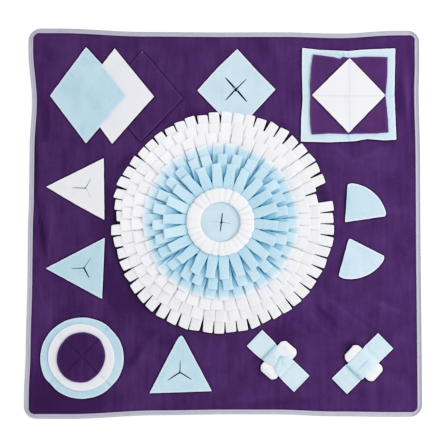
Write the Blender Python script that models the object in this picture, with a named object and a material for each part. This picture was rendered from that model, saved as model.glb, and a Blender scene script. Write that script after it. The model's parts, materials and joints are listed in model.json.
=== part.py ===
"""A square snuffle mat: a bound fleece panel with a fringed rosette, flat pockets and two strapped pads.

The mat lies on its back. The origin is on the surface under its middle, +Y is its top edge and +Z is up.
"""

import math
import random

import bmesh
import bpy
from mathutils import Vector
from mathutils.geometry import delaunay_2d_cdt

MM = 0.001  # the sizes below are in millimetres

# The panel and its bound edge
HALF_WIDTH = 350
HALF_DEPTH = 345.8
CORNER_RADIUS = 25
PANEL_CLOTH = 3.0
SIDE_STEPS = 12
CORNER_STEPS = 4
PANEL_INSET = 1.5  # from the binding's outer face to the panel's raw edge
EDGE_RISE = 1.3  # the panel climbs this much onto the binding's lower leaf
RISE_TOP = 10.3
RISE_FOOT = 24

# How far each side is drawn in from the full width or depth, at places along it
DRAWN_IN = {
    # side: (along, drawn in), ...
    "bottom": ((-265, 0), (-115, 6.3), (10, 7.8), (90, 7.7), (200, 4.4), (300, 3.4)),
    "right": ((-200, 0), (-50, 0.4), (120, 0), (230, 1.6), (285, 0)),
    "top": ((-295, 0), (-135, 6.1), (0, 7), (110, 6.8), (205, 9), (310, 4)),
    "left": ((-310, 0), (-225, 2.5), (-100, 4.6), (-10, 4.9), (40, 6.3), (130, 6.6), (212, 10.2), (310, 3)),
}

# The binding's section, as far in from its outer face and as high as each corner of it
BINDING_SECTION = (
    # inset, height
    (9.2, 0.0),
    (1.2, 0.0),
    (0.0, 2.9),
    (1.2, 5.8),
    (9.2, 5.8),
    (9.2, 4.6),
    (1.25, 4.6),
    (1.25, 1.0),
    (9.2, 1.0),
)

# The panel's soft folds, each a low ridge that fades to both ends
FOLDS = (
    # x, y, direction, half length, half width, height
    (-319, 215, 89, 95, 8, 2.5),
    (-320, -12, 96, 52, 9, 3.2),
    (-323, -138, 88, 50, 9, 2.0),
    (-275, 118, 90, 22, 10, 2.0),
    (324, 205, 91, 115, 9, 2.8),
    (193, -184, -44, 46, 14, 3.5),
    (268, -142, -32, 55, 15, 2.5),
    (-148, -232, 80, 36, 11, 2.0),
)
FOLD_FADE = 8  # a fold reaches its height this far in from the binding's leaf

# Cloth laid on the panel
PATCH_CLOTH = 1.8
GAP = 0.3
SLIT = 1.2
DISC_STEPS = 28

# The strapped pads
PAD_TURN = 2.2  # how far a fold turns out past the layers
PAD_TAPER = 5  # how much narrower a fold is than the pad, each side
PAD_TAPER_LENGTH = 7
STRAP_FOOT = 9.5  # from the pad's edge to where the strap meets the panel
STRAP_SHOULDER = 4.5  # from the pad's edge to where the strap reaches its height
STRAP_PINCH = 0.5
STRAP_CROWN = 1

# The rosette
ROSETTE = (-4, 1)
STRIP_WIDTH = 18.2
STRIP_LENGTH = 33
STRIP_CLOTH = 2.0
STRAY = 0.36  # the part of the gap between two tips that a tip may wander
TIP_SCATTER = 1.5  # how far a tip may end past or short of its radius
TIP_SKEW = 1.2
TIP_CURL = 0.9
FRINGES = (
    # name, colour, tip radius, strips, first strip, underside at the band, the slits, the bend and the tips
    ("fringe_2", "white", 176, 49, 5.8, 3.3, 4.2, 6.3, 8.3),
    ("fringe_3", "white", 157, 42, 1.7, 3.3, 4.6, 7.0, 9.6),
    ("fringe_4", "blue", 138, 34, 8.0, 3.3, 5.0, 7.6, 10.8),
    ("fringe_5", "blue", 120, 27, 9.0, 3.3, 5.4, 8.4, 12.0),
    ("fringe_6", "blue", 101, 22, 12.8, 3.5, 5.8, 9.2, 13.2),
)
OUTER_TIP = 199
OUTER_HEIGHTS = (3.3, 3.6, 4.2, 4.5)  # underside at the band, the slits, the bend and the tips
OUTER_RUNS = (
    # name, strips, first cut, last cut, how far the cuts between them are drawn on
    ("fringe_1_upper", 25, 19.4, 180.5, 0),
    ("fringe_1_lower", 30, 181.3, 370.9, 2.7),
)
OUTER_REACH = (
    # direction, radius of the tips there
    (20, 199),
    (60, 198),
    (96, 192.5),
    (138, 190.5),
    (156, 194),
    (180, 193.5),
    (204, 191),
    (228, 199),
    (252, 198.5),
    (294, 194.5),
    (306, 197.5),
    (348, 200.5),
    (372, 199.5),
)
SHORT_STRIPS = {23: 5.5, 24: 10.5}  # the upper run's last two, and how much each is cut short
OVER_PATCHES = ((72, 94),)  # strips between these angles lie over a diamond's corner
BEND_OVER_PATCH = 5.6
TIP_OVER_PATCH = 5.9
BAND = 12  # the uncut width inside the slits
BEND = 10  # from the slits to the bend

# The gathered ring and the patch inside it
RING = (-4.4, 0)
PLEATS = 26
RUFFLE_CLOTH = 2.2
RUFFLE_ROWS = (
    # radius, underside at a ridge, radius, underside at a valley
    (35.0, 6.2, 36.0, 5.6),
    (42.0, 14.0, 42.5, 11.0),
    (53.0, 13.5, 52.0, 10.5),
    (59.5, 9.0, 57.0, 7.6),
)
CENTRE_RADIUS = 40

COLOURS = {
    # name: linear red, green, blue
    "purple": (0.061, 0.021, 0.109),
    "blue": (0.578, 0.761, 0.855),
    "white": (0.871, 0.880, 0.913),
    "lavender": (0.533, 0.539, 0.617),
}


def clamp(value):
    return max(0.0, min(1.0, value))


def polar(centre, radius, degrees):
    angle = math.radians(degrees)
    return Vector((centre[0] + radius * math.cos(angle), centre[1] + radius * math.sin(angle)))


def level(layers_below):
    """The underside of a patch that lies on the panel and this many other patches."""
    return PANEL_CLOTH + GAP + layers_below * (PATCH_CLOTH + GAP)


def make_object(name, mesh, colour):
    """Finish a bmesh in millimetres as a named object with its own material."""
    bmesh.ops.recalc_face_normals(mesh, faces=mesh.faces[:])
    bmesh.ops.scale(mesh, vec=(MM, MM, MM), verts=mesh.verts[:])
    data = bpy.data.meshes.new(name)
    mesh.to_mesh(data)
    mesh.free()
    material = bpy.data.materials.new(name + "_cloth")
    material.use_nodes = True
    shader = material.node_tree.nodes["Principled BSDF"]
    shader.inputs["Base Color"].default_value = (*COLOURS[colour], 1.0)
    shader.inputs["Roughness"].default_value = 0.95
    shader.inputs["Metallic"].default_value = 0.0
    data.materials.append(material)
    made = bpy.data.objects.new(name, data)
    bpy.context.scene.collection.objects.link(made)
    return made


def thicken(mesh, thickness):
    """Give an open sheet its thickness, straight up from its underside."""
    grown = bmesh.ops.extrude_face_region(mesh, geom=mesh.faces[:], use_keep_orig=True)
    top = [v for v in grown["geom"] if isinstance(v, bmesh.types.BMVert)]
    bmesh.ops.translate(mesh, vec=(0, 0, thickness), verts=top)


def cut_sheet(name, outline, height, thickness, colour, creases=(), holes=()):
    """Cloth cut to an outline; height gives its underside at a place, and folds run along the creases."""
    points = [Vector(p) for p in outline]
    loops = [list(range(len(points)))]
    for hole in holes:
        loops.append(list(range(len(points), len(points) + len(hole))))
        points.extend(Vector(p) for p in hole)
    edges = []
    for start, end in creases:
        edges.append((len(points), len(points) + 1))
        points.extend((Vector(start), Vector(end)))
    places, _, faces, _, _, origins = delaunay_2d_cdt(points, edges, loops, 0, 0.01)
    mesh = bmesh.new()
    verts = [mesh.verts.new((p.x, p.y, height(p.x, p.y))) for p in places]
    for face, origin in zip(faces, origins):
        if 0 in origin and not any(n in origin for n in range(1, len(loops))):
            mesh.faces.new([verts[i] for i in face])
    bmesh.ops.delete(mesh, geom=[v for v in mesh.verts if not v.link_faces], context="VERTS")
    thicken(mesh, thickness)
    return make_object(name, mesh, colour)


def loft(mesh, sections, closed):
    """Join rings of points, each with as many points, by strips of faces."""
    rings = [[mesh.verts.new(p) for p in section] for section in sections]
    pairs = list(zip(rings, rings[1:] + rings[:1]))
    for here, there in pairs if closed else pairs[:-1]:
        for a, b, c, d in zip(here, here[1:] + here[:1], there[1:] + there[:1], there):
            mesh.faces.new((a, b, c, d))
    if not closed:
        mesh.faces.new(rings[0])
        mesh.faces.new(rings[-1])


def patch(name, outline, layers_below, colour, holes=()):
    """A flat patch on the panel or on other patches."""
    return cut_sheet(name, outline, lambda x, y: level(layers_below), PATCH_CLOTH, colour, holes=holes)


# The uneven square


def drawn_in(side, along):
    """How far a side is drawn in at a place along it, eased between the rows of its table."""
    rows = DRAWN_IN[side]
    if along <= rows[0][0]:
        return rows[0][1]
    for (start, before), (end, after) in zip(rows, rows[1:]):
        if along <= end:
            ease = (1 - math.cos(math.pi * (along - start) / (end - start))) / 2
            return before + (after - before) * ease
    return rows[-1][1]


def corner_radius(inset):
    return max(CORNER_RADIUS - inset, 3)


def side_place(side, along, inset):
    """A point on a side, moved in from the mat's edge."""
    depth = drawn_in(side, along) + inset
    return {
        "bottom": Vector((along, depth - HALF_DEPTH)),
        "right": Vector((HALF_WIDTH - depth, along)),
        "top": Vector((along, HALF_DEPTH - depth)),
        "left": Vector((depth - HALF_WIDTH, along)),
    }[side]


def corner_centre(column, row, inset):
    """The middle of a corner's round; the column is left or right, and the row is bottom or top."""
    x = side_place(column, HALF_DEPTH if row == "top" else -HALF_DEPTH, inset).x
    y = side_place(row, HALF_WIDTH if column == "right" else -HALF_WIDTH, inset).y
    radius = corner_radius(inset)
    return Vector((x - math.copysign(radius, x), y - math.copysign(radius, y)))


def mat_outline(inset):
    """Points round the mat, counter-clockwise from the lower left, moved in from its edge."""
    turns = (
        # side, its first corner, its last corner, the direction that it faces
        ("bottom", ("left", "bottom"), ("right", "bottom"), -90),
        ("right", ("right", "bottom"), ("right", "top"), 0),
        ("top", ("right", "top"), ("left", "top"), 90),
        ("left", ("left", "top"), ("left", "bottom"), 180),
    )
    points = []
    for side, first, last, facing in turns:
        axis = 0 if side in ("bottom", "top") else 1
        start = corner_centre(*first, inset)[axis]
        end = corner_centre(*last, inset)[axis]
        for step in range(SIDE_STEPS + 1):
            points.append(side_place(side, start + (end - start) * step / SIDE_STEPS, inset))
        for step in range(1, CORNER_STEPS):
            turn = facing + 90 * step / CORNER_STEPS
            points.append(polar(corner_centre(*last, inset), corner_radius(inset), turn))
    return points


def depth_inside(x, y):
    """How far a place is from the mat's edge."""
    column = "right" if x > 0 else "left"
    row = "top" if y > 0 else "bottom"
    depth = min(
        abs(side_place(column, y, 0).x) - abs(x),
        abs(side_place(row, x, 0).y) - abs(y),
    )
    centre = corner_centre(column, row, 0)
    if abs(x) > abs(centre.x) and abs(y) > abs(centre.y):
        depth = min(depth, CORNER_RADIUS - math.dist((x, y), centre))
    return depth


def fold_place(fold, along, across):
    x, y, direction, half_length, half_width, _ = fold
    way = polar((0, 0), 1, direction)
    side = Vector((-way.y, way.x))
    return Vector((x, y)) + way * along * half_length + side * across * half_width


def panel_height(x, y):
    """The underside of the panel: up on the binding at its edge, and up in each fold."""
    depth = depth_inside(x, y)
    height = EDGE_RISE * clamp((RISE_FOOT - depth) / (RISE_FOOT - RISE_TOP))
    for fold in FOLDS:
        start = fold_place(fold, 0, 0)
        way = fold_place(fold, 1, 0) - start
        side = fold_place(fold, 0, 1) - start
        offset = Vector((x, y)) - start
        along = offset.dot(way) / way.length_squared
        across = offset.dot(side) / side.length_squared
        fade = clamp((depth - RISE_TOP) / FOLD_FADE)
        height += fold[-1] * max(0, 1 - along * along) * max(0, 1 - abs(across)) * fade
    return height


def make_panel():
    creases = []
    for inset in (RISE_TOP, RISE_FOOT):
        loop = mat_outline(inset)
        creases.extend(zip(loop, loop[1:] + loop[:1]))
    for fold in FOLDS:
        for across in (-1, 0, 1):
            line = [fold_place(fold, along / 2, across) for along in range(-2, 3)]
            creases.extend(zip(line, line[1:]))
    cut_sheet("mat_panel", mat_outline(PANEL_INSET), panel_height, PANEL_CLOTH, "purple", creases)


def make_binding():
    loops = [[(*p, height) for p in mat_outline(inset)] for inset, height in BINDING_SECTION]
    mesh = bmesh.new()
    loft(mesh, list(zip(*loops)), closed=True)
    make_object("edge_binding", mesh, "lavender")


# Outlines of the patches


def grown(outline, distance):
    """A convex outline, listed counter-clockwise, with each side moved out."""
    points = [Vector(p) for p in outline]
    moved = []
    for before, here, after in zip(points[-1:] + points[:-1], points, points[1:] + points[:1]):
        first = (here - before).normalized()
        second = (after - here).normalized()
        mitre = Vector((first.y + second.y, -first.x - second.x))
        moved.append(here + mitre * (2 * distance / mitre.length_squared))
    return moved


def slope_off(outline, near, far):
    """Cloth that lies over an outline: its share of the full height at a place, and its creases."""
    points = [Vector(p) for p in outline]

    def share(x, y):
        out = -math.inf
        for here, after in zip(points, points[1:] + points[:1]):
            way = (after - here).normalized()
            out = max(out, (x - here.x) * way.y - (y - here.y) * way.x)
        return clamp((far - out) / (far - near))

    top = grown(outline, near)
    foot = grown(outline, far)
    creases = list(zip(top, foot))
    for loop in (top, foot):
        creases.extend(zip(loop, loop[1:] + loop[:1]))
    return share, creases


def clipped(outline, start, way):
    """The part of an outline that lies past a start, looking along a way."""
    kept = []
    points = [Vector(p) for p in outline]
    for here, after in zip(points, points[1:] + points[:1]):
        inside = (here - start).dot(way)
        inside_after = (after - start).dot(way)
        if inside >= 0:
            kept.append(here)
        if inside * inside_after < 0:
            kept.append(here.lerp(after, inside / (inside - inside_after)))
    return kept


def star(centre, arms, width=SLIT):
    """A slit with several arms, each given by the place of its end, as one narrow outline."""
    middle = Vector(centre)
    ends = sorted((Vector(arm) for arm in arms), key=lambda p: math.atan2(p.y - middle.y, p.x - middle.x))
    points = []
    for before, end in zip(ends[-1:] + ends[:-1], ends):
        first = (before - middle).normalized()
        second = (end - middle).normalized()
        angle = (math.atan2(second.y, second.x) - math.atan2(first.y, first.x)) % math.tau
        between = math.atan2(first.y, first.x) + angle / 2
        points.append(polar(middle, width / 2 / math.sin(angle / 2), math.degrees(between)))
        side = Vector((-second.y, second.x)) * width / 2
        points.extend((end - side, end + side))
    return points


def disc_outline(centre, radius, oval=0, direction=0):
    """A round patch cut by hand, longer by its oval along a direction and shorter across it."""
    points = []
    for step in range(DISC_STEPS):
        degrees = step * 360 / DISC_STEPS
        swell = oval * math.cos(math.radians(2 * (degrees - direction)))
        points.append(polar(centre, radius + swell, degrees))
    return points


def quarter_outline(apex, radii, start, end):
    """A quarter round with its two outer corners taken off; its radius changes from one side to the other."""
    points = [Vector(apex)]
    for step in range(11):
        swing = step / 5 - 1
        degrees = (start + end) / 2 + swing * (end - start) / 2
        radius = radii[0] + (radii[1] - radii[0]) * step / 10
        points.append(polar(apex, radius * (1 - 0.06 * swing**8), degrees))
    return points


# Patches round the rosette


def make_overlapped_diamonds():
    """Three diamonds in a row, each over the one to its right."""
    purple = ((-146, 142), (-71, 220), (-144, 306), (-211, 222))
    white = ((-196.6, 139), (-122.7, 223), (-192.5, 309), (-258, 224))
    blue = ((-243, 140), (-170, 224), (-215.4, 280.5), (-243.5, 311.5), (-307, 224.5))
    patch("diamond_purple", purple, 0, "purple")
    step = PATCH_CLOTH + GAP
    on_purple, purple_creases = slope_off(purple, 3, 13)

    def white_height(x, y):
        return level(0) + step * on_purple(x, y)

    cut_sheet("diamond_white", white, white_height, PATCH_CLOTH, "white", purple_creases)
    on_white, white_creases = slope_off(white, 3, 13)
    past_purple, past_creases = slope_off(purple, 14, 24)

    def blue_height(x, y):
        return level(0) + step * (on_white(x, y) + past_purple(x, y))

    cut_sheet("diamond_blue", blue, blue_height, PATCH_CLOTH, "blue", white_creases + past_creases)


def make_slit_diamond():
    """A diamond with a crossed slit; its lower corner ends square under the outermost strips."""
    diamond = ((24, 161), (93, 235.7), (25.5, 308), (-11.2, 272.6), (-45.5, 234))
    crossing = Vector((23, 236))
    way = (crossing - Vector(ROSETTE)).normalized()
    start = Vector(ROSETTE) + way * (OUTER_TIP - STRIP_LENGTH + BEND + 2)
    slit = star(crossing, ((4, 257), (43, 213), (42, 255), (4, 216)))
    patch("diamond_slit", clipped(diamond, start, way), 0, "blue", holes=[slit])


def make_slit_triangles():
    triangles = (
        # name, colour, corners, middle of the slit, ends of its arms
        (
            "triangle_white",
            "white",
            ((-312.5, 61), (-261.5, 31.7), (-209.8, 4), (-211.5, 113)),
            (-243, 60),
            ((-269, 61), (-232, 80), (-232, 41)),
        ),
        (
            "triangle_blue",
            "blue",
            ((-312.5, -81.7), (-213.2, -135.2), (-209, -28)),
            (-245, -81),
            ((-269, -82), (-231, -60), (-235, -100)),
        ),
        (
            "triangle_low",
            "blue",
            ((-76, -199), (-129, -300.3), (-19.7, -296.6)),
            (-75, -261),
            ((-75, -243), (-96, -278), (-55, -275)),
        ),
    )
    for name, colour, corners, middle, arms in triangles:
        patch(name, corners, 0, colour, holes=[star(middle, arms)])


def make_quarters():
    patch("quarter_upper", quarter_outline((217.2, 2.6), (72.8, 66.6), 6.7, 87), 0, "blue")
    patch("quarter_lower", quarter_outline((222.4, -32.6), (67.9, 69.8), -108, -25), 0, "blue")


def make_stitched_stack(middle, turn, layers):
    """Patches on each other, held by a crossed seam and a little fuller between its arms."""
    centre = Vector(middle)
    seam = polar((0, 0), 1, turn)
    reach = 150
    creases = []
    for step in range(4):
        arm = polar((0, 0), reach, turn + 45 * step)
        creases.extend(((centre - arm, centre), (centre, centre + arm)))
    for below, (name, colour, outline, fullness) in enumerate(layers):

        def height(x, y, below=below, fullness=fullness):
            offset = Vector((x, y)) - centre
            off_seam = min(abs(offset.dot(seam)), abs(offset.cross(seam)))
            return level(below) + fullness * off_seam

        cut_sheet(name, outline, height, PATCH_CLOTH, colour, creases if fullness else ())


def make_square_stack():
    blue = (
        (138, 143.5),
        (222, 143),
        (307, 146.3),
        (304, 225),
        (306.3, 309),
        (224, 304.5),
        (141, 310),
        (142, 226),
    )
    purple = (
        (156, 155.5),
        (222, 156.5),
        (293, 159.5),
        (288, 224),
        (292.5, 293),
        (219, 292.5),
        (161, 298),
        (155, 226),
    )
    white = ((222, 158), (287, 224.5), (224.5, 291), (158, 225))
    layers = (
        # name, colour, outline, rise for each millimetre from the seam
        ("square_blue", "blue", blue, 0.0),
        ("square_purple", "purple", purple, 0.02),
        ("square_diamond", "white", white, 0.05),
    )
    make_stitched_stack((223, 224), 0, layers)


def make_disc_stack():
    layers = (
        # name, colour, outline, rise for each millimetre from the seam
        ("disc_blue", "blue", disc_outline((-247.6, -239), 72, 1.1, 0), 0.0),
        ("disc_white", "white", disc_outline((-248.6, -237.7), 58, 0.8, -47), 0.02),
        ("disc_purple", "purple", disc_outline((-248.8, -237.3), 43, 1.5, 62), 0.05),
    )
    make_stitched_stack((-248, -236), 45, layers)


# Straps and folded pads


def make_ribbon(name, centre, turn, path, thickness, colour):
    """A strip of cloth along a path; each row is a place along it, the middle's height and half the width."""
    along_way = polar((0, 0), 1, turn)
    side_way = Vector((-along_way.y, along_way.x))
    points = [Vector(row[:2]) for row in path]
    sections = []
    for index, (_, _, half_width) in enumerate(path):
        ways = []
        if index > 0:
            ways.append((points[index] - points[index - 1]).normalized())
        if index < len(path) - 1:
            ways.append((points[index + 1] - points[index]).normalized())
        total = sum(ways, Vector((0, 0)))
        mitre = Vector((-total.y, total.x)) * len(ways) / total.length_squared
        section = []
        for up, side in ((-1, -1), (-1, 1), (1, 1), (1, -1)):
            place = points[index] + mitre * up * thickness / 2
            flat = Vector(centre) + along_way * place.x + side_way * side * half_width
            section.append((flat.x, flat.y, place.y))
        sections.append(section)
    mesh = bmesh.new()
    loft(mesh, sections, closed=False)
    make_object(name, mesh, colour)


def make_strapped_pad(side, strap, pad):
    """A pad folded in three, held by a strap; each is given by its centre, turn, length and width."""
    strap_centre, strap_turn, strap_length, strap_width = strap
    pad_centre, pad_turn, pad_length, pad_width = pad
    half = pad_length / 2 - PAD_TURN
    taper = half - PAD_TAPER_LENGTH
    layers = [level(0) + PATCH_CLOTH / 2 + step * (PATCH_CLOTH + 2 * GAP) for step in range(3)]
    wide = pad_width / 2
    narrow = wide - PAD_TAPER
    fold_path = (
        # along, height, half width
        (-half, layers[0], narrow),
        (-taper, layers[0], wide),
        (taper, layers[0], wide),
        (half, layers[0], narrow),
        (half + PAD_TURN, (layers[0] + layers[1]) / 2, narrow),
        (half, layers[1], narrow),
        (taper, layers[1], wide),
        (-taper, layers[1], wide),
        (-half, layers[1], narrow),
        (-half - PAD_TURN, (layers[1] + layers[2]) / 2, narrow),
        (-half, layers[2], narrow),
        (-taper, layers[2], wide),
        (taper, layers[2], wide),
        (half, layers[2], narrow),
    )
    make_ribbon("pad_" + side, pad_centre, pad_turn, fold_path, PATCH_CLOTH, "white")
    end = strap_length / 2
    foot = wide + STRAP_FOOT
    shoulder = wide + STRAP_SHOULDER
    low = level(0) + PATCH_CLOTH / 2
    high = layers[2] + PATCH_CLOTH + 3 * GAP
    strap_path = (
        # along, height, half width
        (-end, low, strap_width / 2),
        (-foot, low, strap_width / 2),
        (-shoulder, high, strap_width / 2 - STRAP_PINCH),
        (0, high + STRAP_CROWN, strap_width / 2),
        (shoulder, high, strap_width / 2 - STRAP_PINCH),
        (foot, low, strap_width / 2),
        (end, low, strap_width / 2),
    )
    make_ribbon("strap_" + side, strap_centre, strap_turn, strap_path, PATCH_CLOTH, "blue")


# The rosette


def outer_reach(angle):
    """The radius of the outermost tips in a direction."""
    for (start, before), (end, after) in zip(OUTER_REACH, OUTER_REACH[1:]):
        if angle <= end:
            return before + (after - before) * (angle - start) / (end - start)
    return OUTER_REACH[-1][1]


def make_fringe(name, colour, cuts, closed, slit, reach, heights, draw, cut_short=None, lifted=()):
    """A band of cloth cut into strips from its outer edge, curved round the rosette's middle.

    The cuts are directions, and reach gives the radius of the tip of a strip that lies in a direction.
    """
    band_height, slit_height, bend_height, tip_height = heights
    share = BEND / STRIP_LENGTH
    pitch = (cuts[-1] - cuts[0]) / (len(cuts) - 1)
    wander = STRAY * (math.tau * (slit + STRIP_LENGTH) * pitch / 360 - STRIP_WIDTH)
    mesh = bmesh.new()

    def vert(flat, height):
        return mesh.verts.new((flat.x, flat.y, height))

    angles = [(before + after) / 2 for before, after in zip(cuts, cuts[1:])]
    if closed:
        cuts = cuts[:-1]
    band = [vert(polar(ROSETTE, slit - BAND, cut), band_height) for cut in cuts]
    roots = [vert(polar(ROSETTE, slit, cut), slit_height) for cut in cuts]
    for index, angle in enumerate(angles):
        after = (index + 1) % len(cuts)
        over = any(low < angle < high for low, high in lifted)
        bend = BEND_OVER_PATCH if over else bend_height
        end = TIP_OVER_PATCH if over else tip_height
        way = polar((0, 0), 1, angle)
        side = Vector((-way.y, way.x))
        length = reach(angle) - (cut_short or {}).get(index, 0) + draw.uniform(-TIP_SCATTER, TIP_SCATTER)
        middle = polar(ROSETTE, length, angle) + side * draw.uniform(-wander, wander)
        skew = draw.uniform(-TIP_SKEW, TIP_SKEW)
        curl = draw.uniform(0, TIP_CURL)
        ends = []
        bends = []
        for hand, root in ((-1, roots[index]), (1, roots[after])):
            corner = middle + side * hand * STRIP_WIDTH / 2 + way * hand * skew
            ends.append(vert(corner, end + curl + hand * curl / 2))
            bends.append(vert(root.co.xy.lerp(corner, share), bend))
        mesh.faces.new((band[index], band[after], roots[after], roots[index]))
        mesh.faces.new((roots[index], roots[after], bends[1], bends[0]))
        mesh.faces.new((bends[0], bends[1], ends[1], ends[0]))
    thicken(mesh, STRIP_CLOTH)
    make_object(name, mesh, colour)


def make_rosette():
    draw = random.Random(21)
    for name, count, first, last, drawn_on in OUTER_RUNS:
        cuts = [
            first + (last - first) * step / count + drawn_on * math.sin(math.pi * step / count)
            for step in range(count + 1)
        ]
        make_fringe(
            name,
            "white",
            cuts,
            False,
            OUTER_TIP - STRIP_LENGTH,
            outer_reach,
            OUTER_HEIGHTS,
            draw,
            cut_short=SHORT_STRIPS if name == "fringe_1_upper" else None,
            lifted=OVER_PATCHES,
        )
    for name, colour, tip, count, first, *heights in FRINGES:
        cuts = [first + (step - 0.5) * 360 / count for step in range(count + 1)]
        make_fringe(name, colour, cuts, True, tip - STRIP_LENGTH, lambda angle, tip=tip: tip, heights, draw)


def make_centre():
    """The patch with a crossed slit, and the gathered ring that stands over its rim."""
    cross = star((-3, 0), ((-1, 18), (-4, -17), (-26, 1), (16, -3)))
    patch("centre_patch", disc_outline(RING, CENTRE_RADIUS), 0, "blue", holes=[cross])
    sections = []
    for step in range(2 * PLEATS):
        degrees = step * 180 / PLEATS
        rows = [(row[2], row[3]) if step % 2 else (row[0], row[1]) for row in RUFFLE_ROWS]
        under = [(*polar(RING, radius, degrees), height) for radius, height in rows]
        upper = [(x, y, height + RUFFLE_CLOTH) for x, y, height in under]
        sections.append(under + upper[::-1])
    mesh = bmesh.new()
    loft(mesh, sections, closed=True)
    make_object("centre_ruffle", mesh, "white")


def main():
    for old in list(bpy.data.objects):
        bpy.data.objects.remove(old)
    make_panel()
    make_binding()
    make_overlapped_diamonds()
    make_slit_diamond()
    make_square_stack()
    make_slit_triangles()
    make_disc_stack()
    make_quarters()
    make_strapped_pad("left", ((96.7, -244), -44, 115.4, 39), ((97.4, -242.5), 49.5, 66.4, 35))
    make_strapped_pad("right", ((245, -248.5), 44.2, 114, 37.8), ((246.5, -247.5), -41.5, 66.4, 34.5))
    make_rosette()
    make_centre()


main()
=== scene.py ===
import json
import math
import random

import bmesh
import bpy
from mathutils import Vector, noise
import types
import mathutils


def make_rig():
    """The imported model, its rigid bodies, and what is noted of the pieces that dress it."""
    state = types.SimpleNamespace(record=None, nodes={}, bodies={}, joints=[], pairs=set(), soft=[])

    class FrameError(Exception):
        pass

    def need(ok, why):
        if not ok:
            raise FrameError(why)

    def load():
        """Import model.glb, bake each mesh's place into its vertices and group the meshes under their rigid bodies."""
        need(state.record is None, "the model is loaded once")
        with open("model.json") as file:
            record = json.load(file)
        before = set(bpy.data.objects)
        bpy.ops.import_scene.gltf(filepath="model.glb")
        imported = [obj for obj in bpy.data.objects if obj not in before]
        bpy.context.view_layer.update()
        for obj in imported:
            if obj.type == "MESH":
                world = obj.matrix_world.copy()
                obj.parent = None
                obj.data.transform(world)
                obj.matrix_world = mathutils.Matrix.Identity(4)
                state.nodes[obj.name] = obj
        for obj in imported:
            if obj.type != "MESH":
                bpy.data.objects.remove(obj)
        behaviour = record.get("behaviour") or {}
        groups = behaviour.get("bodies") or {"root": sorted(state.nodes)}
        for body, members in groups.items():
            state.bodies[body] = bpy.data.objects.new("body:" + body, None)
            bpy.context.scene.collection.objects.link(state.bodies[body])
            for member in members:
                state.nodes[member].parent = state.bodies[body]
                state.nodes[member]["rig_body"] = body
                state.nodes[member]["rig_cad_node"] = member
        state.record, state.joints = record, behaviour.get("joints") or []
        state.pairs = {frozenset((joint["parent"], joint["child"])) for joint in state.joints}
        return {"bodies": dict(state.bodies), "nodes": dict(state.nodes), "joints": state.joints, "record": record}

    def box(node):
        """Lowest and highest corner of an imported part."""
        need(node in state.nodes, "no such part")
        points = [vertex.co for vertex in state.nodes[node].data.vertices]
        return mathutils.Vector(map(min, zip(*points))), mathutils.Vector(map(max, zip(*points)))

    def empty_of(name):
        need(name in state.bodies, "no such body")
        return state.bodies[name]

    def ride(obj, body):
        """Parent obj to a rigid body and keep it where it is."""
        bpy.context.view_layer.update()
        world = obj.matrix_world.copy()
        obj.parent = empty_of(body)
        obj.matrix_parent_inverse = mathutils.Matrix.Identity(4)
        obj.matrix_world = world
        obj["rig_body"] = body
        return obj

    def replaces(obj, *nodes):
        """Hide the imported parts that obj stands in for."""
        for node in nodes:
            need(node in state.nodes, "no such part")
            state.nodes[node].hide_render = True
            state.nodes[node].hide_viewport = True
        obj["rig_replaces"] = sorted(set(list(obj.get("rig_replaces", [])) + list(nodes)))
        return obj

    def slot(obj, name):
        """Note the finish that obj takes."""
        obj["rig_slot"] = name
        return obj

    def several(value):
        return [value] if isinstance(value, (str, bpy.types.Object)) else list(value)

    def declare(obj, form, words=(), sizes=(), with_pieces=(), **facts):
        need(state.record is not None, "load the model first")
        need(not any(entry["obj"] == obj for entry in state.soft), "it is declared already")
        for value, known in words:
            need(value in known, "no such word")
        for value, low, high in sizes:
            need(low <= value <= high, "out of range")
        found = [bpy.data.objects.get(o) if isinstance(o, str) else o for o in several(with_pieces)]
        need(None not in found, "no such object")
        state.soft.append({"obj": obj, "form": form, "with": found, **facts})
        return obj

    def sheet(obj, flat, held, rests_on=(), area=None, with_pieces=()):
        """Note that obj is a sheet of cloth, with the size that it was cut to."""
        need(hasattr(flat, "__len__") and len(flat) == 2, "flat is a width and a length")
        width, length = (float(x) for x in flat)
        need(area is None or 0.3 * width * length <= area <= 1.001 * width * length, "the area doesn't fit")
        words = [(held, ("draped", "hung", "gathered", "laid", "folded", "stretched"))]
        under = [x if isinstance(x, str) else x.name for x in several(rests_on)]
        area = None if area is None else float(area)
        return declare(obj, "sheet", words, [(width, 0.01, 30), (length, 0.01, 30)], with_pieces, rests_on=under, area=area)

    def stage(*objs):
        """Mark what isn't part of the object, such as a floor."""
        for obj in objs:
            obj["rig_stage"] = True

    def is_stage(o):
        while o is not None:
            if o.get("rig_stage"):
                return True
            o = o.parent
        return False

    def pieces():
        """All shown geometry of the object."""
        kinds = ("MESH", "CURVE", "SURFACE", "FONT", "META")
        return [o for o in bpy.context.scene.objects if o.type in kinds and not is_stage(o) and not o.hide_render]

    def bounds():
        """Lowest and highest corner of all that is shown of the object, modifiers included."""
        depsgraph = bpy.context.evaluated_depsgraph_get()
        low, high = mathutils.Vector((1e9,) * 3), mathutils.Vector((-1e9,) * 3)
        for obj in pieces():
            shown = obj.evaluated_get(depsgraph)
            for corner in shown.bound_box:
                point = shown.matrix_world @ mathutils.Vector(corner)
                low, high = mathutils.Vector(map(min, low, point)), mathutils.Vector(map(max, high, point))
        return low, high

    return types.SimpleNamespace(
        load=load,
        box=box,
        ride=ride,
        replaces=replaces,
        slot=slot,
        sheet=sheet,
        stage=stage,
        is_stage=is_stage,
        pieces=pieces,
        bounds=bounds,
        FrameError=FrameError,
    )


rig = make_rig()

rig.load()
cadLow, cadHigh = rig.bounds()
mm = 0.001  # sizes below are in millimetres, and pieces turn to metres when they are finished
tiny = 0.0001  # places this near each other are one place


def cadBox(node):
    low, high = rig.box(node)
    return low / mm, high / mm


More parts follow.
